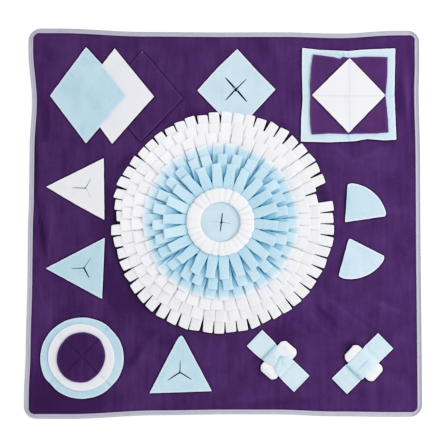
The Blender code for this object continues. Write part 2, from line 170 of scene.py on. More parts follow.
def cadMiddle(node):
    low, high = cadBox(node)
    return (low.xy + high.xy) / 2


class Wire:
    # a socket that can stand in a sum; the sum adds its Math nodes

    def __init__(self, finish, socket):
        self.finish = finish
        self.socket = socket

    def __add__(self, other):
        return self.finish.maths("ADD", self, other)

    def __radd__(self, other):
        return self.finish.maths("ADD", other, self)

    def __sub__(self, other):
        return self.finish.maths("SUBTRACT", self, other)

    def __rsub__(self, other):
        return self.finish.maths("SUBTRACT", other, self)

    def __mul__(self, other):
        return self.finish.maths("MULTIPLY", self, other)

    def __rmul__(self, other):
        return self.finish.maths("MULTIPLY", other, self)


class Finish:
    # a material while it is put together

    def __init__(self, name, roughness):
        self.material = bpy.data.materials.new(name)
        self.material.use_nodes = True
        self.tree = self.material.node_tree
        self.shader = self.tree.nodes["Principled BSDF"]
        self.give("Roughness", roughness)

    def node(self, kind, settings=None, sockets=None, output=0):
        made = self.tree.nodes.new(kind)
        for key, value in (settings or {}).items():
            setattr(made, key, value)
        for key, value in (sockets or {}).items():
            self.plug(made.inputs[key], value)
        return Wire(self, made.outputs[output])

    def plug(self, socket, value):
        if isinstance(value, Wire):
            self.tree.links.new(value.socket, socket)
        else:
            socket.default_value = value

    def maths(self, operation, *values):
        return self.node("ShaderNodeMath", {"operation": operation}, dict(enumerate(values)))

    def give(self, name, value):
        self.plug(self.shader.inputs[name], value)

    def grain(self, size, detail=2, stretch=(1, 1, 1)):
        # noise with features of about this size in millimetres
        spot = self.node("ShaderNodeTexCoord", output="Object")
        place = self.node("ShaderNodeMapping", None, {"Vector": spot, "Scale": stretch})
        sockets = {"Vector": place, "Scale": 1 / (size * mm), "Detail": detail}
        return self.node("ShaderNodeTexNoise", None, sockets)

    def attribute(self, name):
        return self.node("ShaderNodeAttribute", {"attribute_name": name}, output="Fac")

    def mix(self, factor, first, second):
        settings = {"data_type": "RGBA", "clamp_factor": True}
        sockets = {0: factor, 6: self.colour(first), 7: self.colour(second)}
        return self.node("ShaderNodeMix", settings, sockets, output=2)

    def colour(self, value):
        return value if isinstance(value, Wire) else (*value, 1)

    def bump(self, height, depth, under=None):
        sockets = {"Height": height, "Distance": depth * mm, "Strength": 1.0}
        if under:
            sockets["Normal"] = under
        return self.node("ShaderNodeBump", None, sockets)


# the studio and the camera are in metres
studio = {
    "sky": (1.0, 1.0, 1.0),
    "skyStrength": 0.84,
    "floor": (0.93, 0.93, 0.94),
    "floorRoughness": 0.9,
    "floorGlow": 0.55,
    "floorSize": 20.0,
    "keyPlace": (1.1, 0.02, 1.0),  # from the right
    "keySize": 0.9,
    "keyPower": 12.9,
    "tone": ((0.65, 0.65), (0.85, 0.785), (1.0, 0.876), (1.12, 0.93), (1.3, 1.0)),  # soft highlights
}
camera = {
    "target": (-0.0053, 0.0037, 0.005),
    "distance": 1.8,
    "elevation": 87.6,
    "lens": 83.4,
}


def softenHighlights(view):
    view.view_transform = "Standard"
    view.use_curve_mapping = True
    tone = view.curve_mapping
    *steps, last = studio["tone"]
    tone.clip_max_x = last[0]
    curve = tone.curves[3]
    curve.points[1].location = last
    for step in steps:
        curve.points.new(*step)
    for point in curve.points:
        point.handle_type = "AUTO_CLAMPED"
    tone.update()


def makeStudio():
    scene = bpy.context.scene
    softenHighlights(scene.view_settings)
    world = bpy.data.worlds.new("studio")
    world.use_nodes = True
    sky = world.node_tree.nodes["Background"]
    sky.inputs["Color"].default_value = (*studio["sky"], 1)
    sky.inputs["Strength"].default_value = studio["skyStrength"]
    scene.world = world

    bm = bmesh.new()
    bmesh.ops.create_grid(bm, x_segments=1, y_segments=1, size=studio["floorSize"] / 2)
    mesh = bpy.data.meshes.new("floor")
    bm.to_mesh(mesh)
    bm.free()
    floor = bpy.data.objects.new("floor", mesh)
    scene.collection.objects.link(floor)
    paint = Finish("floorPaint", studio["floorRoughness"])
    paint.give("Base Color", (*studio["floor"], 1))
    paint.give("Emission Color", (1, 1, 1, 1))
    paint.give("Emission Strength", studio["floorGlow"])
    mesh.materials.append(paint.material)
    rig.stage(floor)

    light = bpy.data.lights.new("key", "AREA")
    light.size = studio["keySize"]
    light.energy = studio["keyPower"]
    key = bpy.data.objects.new("key", light)
    key.location = studio["keyPlace"]
    key.rotation_euler = (-Vector(studio["keyPlace"])).to_track_quat("-Z", "Y").to_euler()
    scene.collection.objects.link(key)


def makeCamera():
    data = bpy.data.cameras.new("camera")
    data.lens = camera["lens"]
    made = bpy.data.objects.new("camera", data)
    tilt = math.radians(camera["elevation"])
    back = Vector((0, -math.cos(tilt), math.sin(tilt)))
    made.location = Vector(camera["target"]) + back * camera["distance"]
    made.rotation_euler = (-back).to_track_quat("-Z", "Y").to_euler()
    bpy.context.scene.collection.objects.link(made)
    bpy.context.scene.camera = made


makeStudio()
makeCamera()
print("studio and camera are set")


# linear colours: the darker and lighter side of the nap, the painted shade of gaps, creases and shadows, and
# the cut edge, whose pale rim is partly painted highlight. The contact setting is the painted contact shadow
# beside what lies on a cloth, glow how much light goes through it, a painted glow is added to the white
# strips, and fadesTo the cloth whose colours it takes on along its attribute fade
fleece = {
    "purple": {
        "dark": (0.0385, 0.0105, 0.071),
        "light": (0.072, 0.0268, 0.125),
        "deep": (0.0105, 0.0048, 0.028),
        "edge": (0.076, 0.028, 0.130),
        "streaks": 1.0,
        "contact": 3.0,
        "slot": "purple_fleece",
    },
    "brightPurple": {
        "dark": (0.052, 0.0165, 0.086),
        "light": (0.090, 0.0315, 0.144),
        "deep": (0.014, 0.005, 0.028),
        "edge": (0.095, 0.040, 0.155),
        "streaks": 0.5,
        "contact": 2.2,
        "slot": "purple_fleece",
    },
    "blue": {
        "dark": (0.415, 0.61, 0.75),
        "light": (0.56, 0.75, 0.875),
        "deep": (0.045, 0.31, 0.52),
        "edge": (0.64, 0.745, 0.90),
        "streaks": 0.35,
        "glow": 0.5,
        "slot": "blue_fleece",
    },
    "fringeBlue": {
        "dark": (0.385, 0.615, 0.775),
        "light": (0.55, 0.775, 0.925),
        "deep": (0.028, 0.34, 0.56),
        "edge": (0.62, 0.75, 0.92),
        "streaks": 0.35,
        "glow": 0.5,
        "fadesTo": "fringeWhite",
        "slot": "blue_fleece",
    },
    "paleBlue": {
        "dark": (0.48, 0.655, 0.78),
        "light": (0.62, 0.795, 0.90),
        "deep": (0.10, 0.36, 0.52),
        "edge": (0.77, 0.79, 0.97),
        "streaks": 0.35,
        "glow": 0.5,
        "slot": "blue_fleece",
    },
    "white": {
        "dark": (0.83, 0.835, 0.94),
        "light": (0.912, 0.918, 0.99),
        "deep": (0.66, 0.67, 0.79),
        "edge": (0.92, 0.895, 0.985),
        "streaks": 0.35,
        "glow": 0.8,
        "slot": "white_fleece",
    },
    "fringeWhite": {
        "dark": (0.80, 0.81, 0.92),
        "light": (0.97, 0.965, 1.0),
        # a painted glow on the white strips, strongest on those facing the painted light
        "brightener": (0.15, 0.13, 0.24),
        "deep": (0.66, 0.67, 0.79),
        "edge": (0.97, 0.96, 1.0),
        "streaks": 0.35,
        "glow": 0.8,
        "fadesTo": "fringeBlue",
        "slot": "white_fleece",
    },
    "ruffle": {
        "dark": (0.865, 0.89, 0.955),
        "light": (0.925, 0.94, 0.995),
        "deep": (0.60, 0.59, 0.67),
        "edge": (0.97, 0.95, 1.0),
        "streaks": 0.2,
        "glow": 0.4,
        "slot": "white_fleece",
    },
}
pile = {
    # patches of lighter and darker pile, from wide to fine
    "cloudSize": 42,
    "napSize": 9,
    "tuftSize": 2.4,
    "fibreSize": 0.55,
    "cloudShare": 1.2,
    "tuftShare": 0.9,
    "fibreShare": 0.6,
    "napStretch": (1, 0.14, 1),
    "tuftDepth": 0.35,
    "fibreDepth": 0.10,
    "roughness": 0.95,
    "shine": 0.06,
    "glowDepth": 2.6,
    "contactReach": 4.5,  # how far from what lies on it the painted contact shadow reaches
    "rootShade": (0.008, 0.05, 0.10),  # painted shade of the blue strips deep between them, near their roots
}


def makeFleece(name):
    look = fleece[name]
    finish = Finish(name + "Fleece", pile["roughness"])
    clouds = finish.grain(pile["cloudSize"])
    nap = finish.grain(pile["napSize"], 3, stretch=pile["napStretch"])
    tufts = finish.grain(pile["tuftSize"], 4)
    fibres = finish.grain(pile["fibreSize"], 3)
    shade = 0.5 + (clouds - 0.5) * pile["cloudShare"] + (nap - 0.5) * look["streaks"]
    shade = shade + (tufts - 0.5) * pile["tuftShare"] + (fibres - 0.5) * pile["fibreShare"]
    # the attribute nap adds each piece's own tone, and painted light and shade: on the panel's folds, near the rosette
    # and on strips facing the light
    shade = shade + finish.attribute("nap")
    cloth = finish.mix(shade, look["dark"], look["light"])
    deepColour = look["deep"]
    if "fadesTo" in look:
        other = fleece[look["fadesTo"]]
        faded = finish.attribute("fade")
        cloth = finish.mix(faded, cloth, finish.mix(shade, other["dark"], other["light"]))
        deepColour = finish.mix(faded, look["deep"], other["deep"])
        deepColour = finish.mix(finish.attribute("root"), deepColour, pile["rootShade"])
    edged = finish.mix(finish.attribute("edge"), cloth, look["edge"])
    # the attribute deep mixes in painted shade: in gaps, creases and seams, and shadows cast beside things
    deep = finish.attribute("deep")
    if "contact" in look:  # painted contact shadow: the cloth is darkened where something lies close over or beside it
        sockets = {"Distance": pile["contactReach"] * mm}
        openness = finish.node("ShaderNodeAmbientOcclusion", {"samples": 8}, sockets, output="AO")
        deep = deep + (1 - openness) * look["contact"]
    finish.give("Base Color", finish.mix(deep, edged, deepColour))
    if "brightener" in look:  # painted glow: pale strips give back more light than falls on them, most where the nap attribute is high and least at rims and in painted shade
        bright = finish.attribute("nap") - finish.attribute("edge") - finish.attribute("deep")
        finish.give("Emission Color", finish.mix(bright, (0, 0, 0), look["brightener"]))
        finish.give("Emission Strength", 1.0)
    finish.give("Normal", finish.bump(fibres, pile["fibreDepth"], finish.bump(tufts, pile["tuftDepth"])))
    finish.give("Specular IOR Level", pile["shine"])
    if "glow" in look:  # light passes a little way through pale cloth
        finish.give("Subsurface Weight", look["glow"])
        finish.give("Subsurface Radius", (1.0, 1.0, 1.0))
        finish.give("Subsurface Scale", pile["glowDepth"] * mm)
    return finish.material


tape = {
    "dark": (0.45, 0.455, 0.54),
    "light": (0.60, 0.60, 0.69),
    # painted shade: in the stitched crease and on the outer slope
    "deep": (0.25, 0.25, 0.31),
    "edge": (0.49, 0.44, 0.62),
    "roughness": 0.75,
    "sheen": 0.2,
    "shade": 0.45,  # between dark at 0 and light at 1
    "cloudSize": 14,
    "cloudShare": 0.8,
    "fibreSize": 0.5,
    "fibreShare": 0.4,
    "fibreDepth": 0.06,
    "ribSize": 0.9,
    "ribShare": 0.12,
    "ribDepth": 0.12,
}


def makeTape():
    # ribbed binding tape: u runs along the tape and v across it
    finish = Finish("bindingTape", tape["roughness"])
    run = finish.node("ShaderNodeUVMap", {"uv_map": "tape"})
    along = finish.node("ShaderNodeSeparateXYZ", None, {0: run}, output="X")
    ribs = finish.maths("SINE", along * (math.tau / tape["ribSize"]))
    clouds = finish.grain(tape["cloudSize"], 3)
    fibres = finish.grain(tape["fibreSize"], 2)
    shade = tape["shade"] + (clouds - 0.5) * tape["cloudShare"] + (fibres - 0.5) * tape["fibreShare"]
    shade = shade + ribs * tape["ribShare"]
    cloth = finish.mix(shade, tape["dark"], tape["light"])
    cloth = finish.mix(finish.attribute("edge"), cloth, tape["edge"])
    finish.give("Base Color", finish.mix(finish.attribute("deep"), cloth, tape["deep"]))
    finish.give("Normal", finish.bump(ribs, tape["ribDepth"], finish.bump(fibres, tape["fibreDepth"])))
    finish.give("Sheen Weight", tape["sheen"])
    return finish.material


thread = {
    "roughness": 0.55,
    "twistSize": 0.25,
    "twistDepth": 0.05,
    "colours": {
        "lavender": ((0.42, 0.42, 0.50), (0.62, 0.62, 0.70)),
        "purple": ((0.03, 0.01, 0.06), (0.08, 0.03, 0.13)),
        "blue": ((0.45, 0.62, 0.72), (0.62, 0.78, 0.86)),
        "white": ((0.72, 0.73, 0.78), (0.88, 0.88, 0.90)),
    },
    "alike": {"paleBlue": "blue", "brightPurple": "purple"},  # cloths that are sewn with another's thread
}


def makeThread(name, dark, light):
    finish = Finish(name + "Thread", thread["roughness"])
    twist = finish.grain(thread["twistSize"], 2)
    finish.give("Base Color", finish.mix(twist, dark, light))
    finish.give("Normal", finish.bump(twist, thread["twistDepth"]))
    return finish.material


cloths = {name: makeFleece(name) for name in fleece}
bindingTape = makeTape()
threads = {name: makeThread(name, *colours) for name, colours in thread["colours"].items()}
print("finishes are made")


def clamp(value):
    return max(0.0, min(1.0, value))


def smooth(value):
    value = clamp(value)
    return value * value * (3 - 2 * value)


def polar(centre, radius, degrees):
    angle = math.radians(degrees)
    return Vector((centre[0] + radius * math.cos(angle), centre[1] + radius * math.sin(angle)))


def ripple(x, y, size, seed=0.0):
    # soft noise from -1 to 1 with features of this size
    return noise.noise(Vector((x / size, y / size, seed)))


def falloff(value, width):
    # 1 at nought, and less on both sides of it
    return math.exp(-((value / width) ** 2))


def sideways(way):
    # the direction a quarter turn to the left of another
    return Vector((-way.y, way.x))


def marks(bm, *names):
    # values at the corners of a mesh, which its finish reads
    return [bm.verts.layers.float.new(name) for name in names]


def surface(bm):
    return sum(face.calc_area() for face in bm.faces)


def flatFace(corners):
    bm = bmesh.new()
    bm.faces.new([bm.verts.new((x, y, 0)) for x, y in corners])
    return bm


def roundCorners(bm, radius, segments=3):
    corners = bm.verts[:]
    bmesh.ops.bevel(
        bm, geom=corners, offset=radius, segments=segments, profile=0.5, affect="VERTICES", material=-1
    )


def cutAcross(bm, place, way):
    # score the cloth along a line, so that it can bend or open there
    geom = bm.verts[:] + bm.edges[:] + bm.faces[:]
    bmesh.ops.bisect_plane(bm, geom=geom, dist=tiny, plane_co=(*place, 0), plane_no=(*sideways(way), 0))


def cutGrid(bm, step):
    # squares small enough to drape
    for axis in (0, 1):
        low = min(v.co[axis] for v in bm.verts)
        high = max(v.co[axis] for v in bm.verts)
        count = math.ceil((high - low) / step)
        way = Vector((0, 1)) if axis == 0 else Vector((1, 0))
        for index in range(1, count):
            place = [0, 0]
            place[axis] = low + (high - low) * index / count
            cutAcross(bm, place, way)


def faceUp(bm):
    if sum(face.normal.z * face.calc_area() for face in bm.faces) < 0:
        bmesh.ops.reverse_faces(bm, faces=bm.faces[:])


hem = {
    "round": 0.5,
    "steps": 2,
    "sharpest": 50,  # edges that turn more than this are rounded
}


def finishPiece(name, bm, material, slot, nodes=(), cloth=0, rounded=hem["round"], offset=-1.0):
    # turn a mesh in millimetres into a piece of the mat; cloth is its thickness
    bmesh.ops.scale(bm, vec=(mm, mm, mm), verts=bm.verts[:])
    mesh = bpy.data.meshes.new(name)
    bm.to_mesh(mesh)
    bm.free()
    mesh.shade_smooth()
    mesh.materials.append(material)
    piece = bpy.data.objects.new(name, mesh)
    bpy.context.scene.collection.objects.link(piece)
    if cloth:
        thick = piece.modifiers.new("thickness", "SOLIDIFY")
        thick.thickness = cloth * mm
        thick.offset = offset
        thick.use_even_offset = False
        soft = piece.modifiers.new("softEdge", "BEVEL")
        soft.width = rounded * mm
        soft.segments = hem["steps"]
        soft.limit_method = "ANGLE"
        soft.angle_limit = math.radians(hem["sharpest"])
    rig.ride(piece, "root")
    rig.slot(piece, slot)
    if nodes:
        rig.replaces(piece, *nodes)
    return piece


def finishCloth(name, bm, colour, nodes, cloth, **more):
    # a piece of fleece; more is what finishPiece takes
    return finishPiece(name, bm, cloths[colour], fleece[colour]["slot"], nodes, cloth, **more)


stitch = {
    "length": 2.6,
    "pitch": 3.4,  # from stitch to stitch
    "width": 0.62,
    "height": 0.5,
    "proud": 0.05,  # how far they stand up from the cloth
}


def sew(bm, line, height):
    # a row of stitches along a line of places; height gives the cloth's top at a place
    half = stitch["length"] / 2
    reach = 0.0
    for start, end in zip(line, line[1:]):
        way = end - start
        length = way.length
        if length < tiny:
            continue
        way = way / length
        side = sideways(way)
        while reach < length:
            middle = start + way * reach
            made = bmesh.ops.create_icosphere(bm, subdivisions=1, radius=1)["verts"]
            first, last = [height(*(middle + way * half * hand)) for hand in (-1, 1)]
            for vert in made:
                along, across, up = vert.co
                flat = middle + way * along * half + side * across * stitch["width"] / 2
                rise = first + (last - first) * (along + 1) / 2
                vert.co = (flat.x, flat.y, rise + up * stitch["height"] / 2)
            reach += stitch["pitch"]
        reach -= length


def finishStitches(name, bm, colour):
    slot = "lavender_binding" if colour == "lavender" else fleece[colour]["slot"]
    finishPiece(name, bm, threads[thread["alike"].get(colour, colour)], slot)


mat = {
    "cornerRadius": {
        ("left", "bottom"): 23,
        ("right", "bottom"): 23,
        ("right", "top"): 21,
        ("left", "top"): 24,
    },
    "cornerTightening": 1.35,  # how much sooner the inner edge of the binding turns
    "leastRadius": 3,
    "drawnIn": {
        # side: (place along it, how far it is drawn in there), ...
        "bottom": ((-265, 0), (-115, 6.3), (10, 7.8), (90, 7.7), (200, 4.4), (300, 3.4)),
        "right": ((-200, 0), (-50, 0.4), (120, 0), (230, 1.6), (285, 0)),
        "top": ((-295, 0), (-135, 6.1), (0, 7), (110, 6.8), (205, 9), (310, 4)),
        "left": (
            (-310, 0), (-225, 2.5), (-100, 4.6), (-10, 4.9),
            (40, 6.3), (130, 6.6), (212, 10.2), (310, 3),
        ),
    },
}
matLow, matHigh = cadBox("edge_binding")
halfWidth = (matHigh.x - matLow.x) / 2
halfDepth = (matHigh.y - matLow.y) / 2


def drawnIn(side, along):
    # how far a side is drawn in at a place along it
    rows = mat["drawnIn"][side]
    if along <= rows[0][0]:
        return rows[0][1]
    for (start, before), (end, after) in zip(rows, rows[1:]):
        if along <= end:
            share = (1 - math.cos(math.pi * (along - start) / (end - start))) / 2
            return before + (after - before) * share
    return rows[-1][1]


def sidePlace(side, along, inset):
    # a place on a side of the mat, or an inset inside it
    depth = drawnIn(side, along) + inset
    if side == "bottom":
        return Vector((along, depth - halfDepth))
    if side == "right":
        return Vector((halfWidth - depth, along))
    if side == "top":
        return Vector((along, halfDepth - depth))
    return Vector((depth - halfWidth, along))


def cornerRadius(corner, inset):
    return max(mat["cornerRadius"][corner] - mat["cornerTightening"] * inset, mat["leastRadius"])


def cornerCentre(column, row, inset):
    x = sidePlace(column, halfDepth if row == "top" else -halfDepth, inset).x
    y = sidePlace(row, halfWidth if column == "right" else -halfWidth, inset).y
    radius = cornerRadius((column, row), inset)
    return Vector((x - math.copysign(radius, x), y - math.copysign(radius, y)))


def matOutline(inset, sideSteps=90, cornerSteps=10):
    # the mat's outline drawn in by an inset, counter-clockwise from the lower left
    turns = (
        ("bottom", ("left", "bottom"), ("right", "bottom"), -90),
        ("right", ("right", "bottom"), ("right", "top"), 0),
        ("top", ("right", "top"), ("left", "top"), 90),
        ("left", ("left", "top"), ("left", "bottom"), 180),
    )
    points = []
    for side, first, last, facing in turns:
        axis = 0 if side in ("bottom", "top") else 1
        start = cornerCentre(*first, inset)[axis]
        end = cornerCentre(*last, inset)[axis]
        for step in range(sideSteps + 1):
            points.append(sidePlace(side, start + (end - start) * step / sideSteps, inset))
        for step in range(1, cornerSteps):
            turn = facing + 90 * step / cornerSteps
            points.append(polar(cornerCentre(*last, inset), cornerRadius(last, inset), turn))
    return points


def depthInside(x, y):
    # how far a place is from the mat's edge
    column = "right" if x > 0 else "left"
    row = "top" if y > 0 else "bottom"
    depth = min(
        abs(sidePlace(column, y, 0).x) - abs(x),
        abs(sidePlace(row, x, 0).y) - abs(y),
    )
    centre = cornerCentre(column, row, 0)
    if abs(x) > abs(centre.x) and abs(y) > abs(centre.y):
        depth = min(depth, cornerRadius((column, row), 0) - math.dist((x, y), centre))
    return depth


tips = {
    "middle": (-4, 1),
    "reach": (
        # direction, radius of the rosette's outermost tips there
        (20, 199), (60, 198), (96, 192.5), (138, 190.5), (156, 194), (180, 193.5), (204, 191),
        (228, 199), (252, 198.5), (294, 194.5), (306, 197.5), (348, 200.5), (372, 199.5),
    ),
    # how dark the panel is beside the tips, and towards which direction
    "shade": 0.95,
    "shadeFacing": 208,
    "shadeWidth": 44,
    "shadeReach": 8.5,
    # and between the tips
    "gapShade": 0.6,
    "gapShadeMore": 0.35,
    "gapShadeFacing": 190,
    "gapShadeEase": 4,
}


def between(stops, values, place):
    # straight runs between the stops
    if place <= stops[0]:
        return values[0]
    for start, end, low, high in zip(stops, stops[1:], values, values[1:]):
        if place <= end:
            return low + (high - low) * (place - start) / (end - start)
    return values[-1]


def outerReach(angle):
    # how far out the rosette's outermost tips are in a direction
    stops, values = zip(*tips["reach"])
    return between(stops, values, angle)


def tipShade(x, y):
    # the panel is darker between the outermost tips, and beside them on the lower left
    offset = Vector((x, y)) - Vector(tips["middle"])
    angle = math.degrees(math.atan2(offset.y, offset.x)) % 360
    lastAngle = tips["reach"][-1][0] - 360
    past = offset.length - outerReach(angle if angle > lastAngle else angle + 360)
    facing = math.cos(math.radians(angle - tips["gapShadeFacing"]))
    under = tips["gapShade"] + tips["gapShadeMore"] * facing
    beside = tips["shade"] * falloff(angle - tips["shadeFacing"], tips["shadeWidth"])
    if past < 0:
        return max(under * smooth(-past / tips["gapShadeEase"]), beside)
    return beside * math.exp(-past / tips["shadeReach"])


panel = {
    "columns": 176,
    "rows": 174,
    "cloth": 3.0,
    "inset": 1.5,
    "cornerRadius": 20,
    "edgeRise": 1.3,  # the panel climbs a little from riseFoot to riseTop inside the edge
    "riseTop": 10.3,
    "riseFoot": 24,
    "foldStart": 8,
    "swell": 0.45,
    "swellSize": 95,
    "swellSink": 0.3,
    "waveSize": 26,
    "waveStretch": 3,
    "waveShare": 0.5,
    "creases": (
        # x, y, direction, half length, half width, height: a ridge, or a trough where it is negative
        (-319, 215, 89, 95, 8, 2.5),
        (-309, 215, 89, 85, 6, -0.9),
        (-320, -12, 96, 52, 9, 3.2),
        (-310, -12, 97, 50, 6, -0.8),
        (-323, -138, 88, 50, 9, 2.0),
        (-275, 118, 90, 22, 10, 2.0),
        (324, 205, 91, 115, 9, 2.8),
        (336, 215, 91, 90, 5, -0.8),
        (193, -184, -44, 46, 14, 3.5),
        (268, -142, -32, 55, 15, 2.5),
        (-148, -232, 80, 36, 11, 2.0),
    ),
    "naps": (
        # x, y, direction, half length, half width, and how much lighter the panel is painted there: painted light and
        # shade of its folds and near the rosette, darker where negative
        (-316, 0, 96, 62, 7, -0.5),
        (-306, -30, 84, 80, 7, 0.6),
        (-314, 180, 90, 55, 9, -0.8),
        (-300, 95, 82, 60, 9, -0.15),
        (-306, -180, 88, 60, 8, 0.5),
        (-278, 118, 88, 26, 9, -0.35),
        (328, 228, 91, 65, 5, 0.9),
        (314, 225, 91, 62, 8, -0.55),
        (337, 180, 91, 90, 5, -0.4),
        (184, -166, -44, 46, 6, -1.0),
        (168, -176, -44, 46, 7, 0.35),
        (208, -152, -38, 52, 7, 0.45),
        (240, -170, -36, 55, 7, -0.35),
        (-152, -232, 60, 48, 13, -0.6),
        (-192, -196, 48, 44, 15, -0.3),
        (-120, -205, 40, 30, 10, 0.25),
        (-210, -60, 86, 90, 16, -0.5),
        (-205, 35, 84, 65, 14, -0.75),
        (-130, 169, 37, 50, 16, -0.8),
        (-60, 190, 20, 50, 14, -0.25),
        (-190, -122, -55, 110, 42, -0.55),
        (-100, -208, -22, 62, 28, -0.35),
        (-270, -322, 2, 90, 16, -0.7),
        (-300, -230, 90, 90, 30, -0.25),
        (262, 120, 20, 60, 9, 0.4),
        (205, 128, -34, 42, 8, 0.35),
        (300, 20, 10, 40, 10, 0.3),
        (100, 300, -60, 40, 12, 0.3),
        (60, -320, 4, 120, 9, -0.3),
        (-260, -325, 2, 60, 9, -0.3),
        (290, -150, -25, 50, 8, 0.4),
        (-177, 104, 60, 32, 12, -0.6),
        (108, -200, 30, 66, 44, -0.3),
        (150, -132, 48, 40, 12, 0.35),
        (-265, -215, 88, 130, 60, -0.4),
        (-285, -300, 0, 150, 75, -0.7),
        (-321, -125, 103, 44, 7, 0.5),
        (-299, -20, 95, 95, 7, 0.35),
        (-283, -250, 100, 50, 9, 0.25),
        (140, -190, -40, 40, 9, 0.3),
    ),
    "shades": (
        # x, y, direction, half length, half width, how deep the shade is
        (-319.5, -16, 98.5, 88, 5, 0.95),
        (-331, 100, 91, 110, 8, 0.7),
        (-318, -318, 45, 80, 46, 0.3),
        (-331, -86, 92, 34, 5, 0.4),
        (-325, 150, 88, 60, 6.5, 0.2),
        (217, 36, 88, 42, 9, 0.5),
        (208, -64, 75, 44, 9, 0.4),
        (221, -219, 48, 26, 14, 0.7),
        (60, -237, 48, 20, 10, 0.5),
        (178, -172, -44, 46, 6, 0.15),
    ),
}


def foldSum(x, y, folds, amount=0):
    # what long soft folds add up to at a place; a fold's row may end with more amounts than one
    total = 0.0
    for middleX, middleY, direction, halfLength, halfWide, *amounts in folds:
        turn = math.radians(direction)
        dx, dy = x - middleX, y - middleY
        along = (dx * math.cos(turn) + dy * math.sin(turn)) / halfLength
        across = (dy * math.cos(turn) - dx * math.sin(turn)) / halfWide
        if abs(along) < 1 and abs(across) < 1:
            crest = (1 + math.cos(across * math.pi)) / 2
            total += amounts[amount] * math.cos(along * math.pi / 2) ** 2 * crest
    return total


def swell(x, y):
    # the slow unevenness that the panel and everything on it share
    slow = ripple(x, y, panel["swellSize"], 3.1)
    waves = ripple(x, y / panel["waveStretch"], panel["waveSize"], 7.7)
    return panel["swell"] * (slow + panel["waveShare"] * waves - panel["swellSink"])


def panelTop(x, y):
    # the height of the panel's top
    depth = depthInside(x, y)
    foot, top = panel["riseFoot"], panel["riseTop"]
    rise = panel["edgeRise"] * smooth((foot - depth) / (foot - top))
    inside = clamp((depth - top) / panel["foldStart"])
    return panel["cloth"] + rise + inside * (foldSum(x, y, panel["creases"]) + swell(x, y))


def makePanel():
    bm = bmesh.new()
    nap, deep = marks(bm, "nap", "deep")
    bmesh.ops.create_grid(bm, x_segments=panel["columns"], y_segments=panel["rows"], size=1)
    middle = cadMiddle("edge_binding")
    halfX = halfWidth - panel["inset"]
    halfY = halfDepth - panel["inset"]
    radius = panel["cornerRadius"]
    for vert in bm.verts:
        x, y = vert.co.x * halfX, vert.co.y * halfY
        overX = (abs(x) - halfX + radius) / radius
        overY = (abs(y) - halfY + radius) / radius
        if overX > 0 and overY > 0:  # from a square corner to a round one
            x = math.copysign(halfX - radius + radius * overX * math.sqrt(1 - overY**2 / 2), x)
            y = math.copysign(halfY - radius + radius * overY * math.sqrt(1 - overX**2 / 2), y)
        pullX = drawnIn("right" if x > 0 else "left", y)
        pullY = drawnIn("top" if y > 0 else "bottom", x)
        place = Vector((x * (1 - pullX / halfX), y * (1 - pullY / halfY))) + middle
        vert.co = (*place, panelTop(*place))
        # painted light and shade of the panel's folds, and painted shade near the rosette and in the lower left
        vert[nap] = foldSum(*place, panel["naps"])
        # painted shadow beside and between the rosette's outermost tips, and painted shade along the folds listed in
        # shades
        vert[deep] = tipShade(*place) + foldSum(*place, panel["shades"])
    faceUp(bm)
    piece = finishCloth("panel", bm, "purple", ["mat_panel"], panel["cloth"])
    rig.sheet(piece, flat=(2 * halfX * mm, 2 * halfY * mm), held="laid", rests_on=["floor"])


binding = {
    "cloth": 1.1,
    "round": 0.3,
    "wave": 0.25,
    "waveFoot": 3,  # the tape is uneven above this height
    "waves": 9,
    "turnedDown": {"right": 1.1, "top": 0.4, "bottom": 0.2},  # painted shade on the outer slope of each side
    "slopeStart": 26,  # how far in the painted shade on a side starts, and how soon it is full
    "slopeEase": 14,
    "slopeInset": 5.0,
    "slopeFade": 2.5,
    "rimInset": 6.8,  # the paler inner rim of the tape
    "rimFade": 1.4,
    "top": 5.5,
    "stitchInset": 5.9,
    "stitchHeight": 5.45,
    "section": (
        # inset, height, and how much painted shade it has in a crease: from under the mat, round the edge and over the
        # top
        (9.2, 0.1, 0.0),
        (5.6, 0.1, 0.0),
        (2.2, 0.25, 0.0),
        (0.8, 1.1, 0.0),
        (0.2, 2.7, 0.0),
        (0.6, 4.4, 0.0),
        (1.8, 5.4, 0.0),
        (3.4, 5.8, 0.1),
        (4.8, 5.65, 0.2),
        (5.5, 5.3, 0.35),
        (5.9, 5.15, 0.5),
        (6.3, 5.3, 0.35),
        (7.0, 5.7, 0.0),
        (8.2, 5.8, 0.0),
        (8.9, 5.5, 0.1),
        (9.3, 4.8, 0.4),
    ),
}


def bindingWave(index, count):
    # the tape's own unevenness round the mat
    turn = index / count * math.tau
    size = binding["waves"]
    return noise.noise(Vector((math.cos(turn) * size, math.sin(turn) * size, 0.4)))


def startLoop(bm, count):
    loop = bmesh.ops.create_circle(bm, segments=count, radius=1)["verts"]
    return sorted(loop, key=lambda v: math.atan2(v.co.y, v.co.x) % math.tau)


def growLoop(bm, loop):
    # extrude a closed loop, and give its new vertices in the same order
    edges = [bm.edges.get(pair) for pair in zip(loop, loop[1:] + loop[:1])]
    grown = set(bmesh.ops.extrude_edge_only(bm, edges=edges)["geom"])
    return [next(e.other_vert(v) for e in v.link_edges if e.other_vert(v) in grown) for v in loop]


def slopeShade(place, inset):
    # painted shade on the outer slope of the binding
    past = {"right": place.x - halfWidth, "top": place.y - halfDepth, "bottom": -place.y - halfDepth}
    shades = [
        most * smooth((past[side] + binding["slopeStart"]) / binding["slopeEase"])
        for side, most in binding["turnedDown"].items()
    ]
    return max(shades) * smooth((binding["slopeInset"] - inset) / binding["slopeFade"])


def unrollTape(bm, spots, count, length):
    # lay the tape's own pattern along it: spots holds each corner's step round the mat and place across
    runs = bm.loops.layers.uv.new("tape")
    for face in bm.faces:
        wraps = {spots[v][0] for v in face.verts} == {0, count - 1}
        for corner in face.loops:
            index, over = spots[corner.vert]
            corner[runs].uv = (length[count if wraps and index == 0 else index], over)


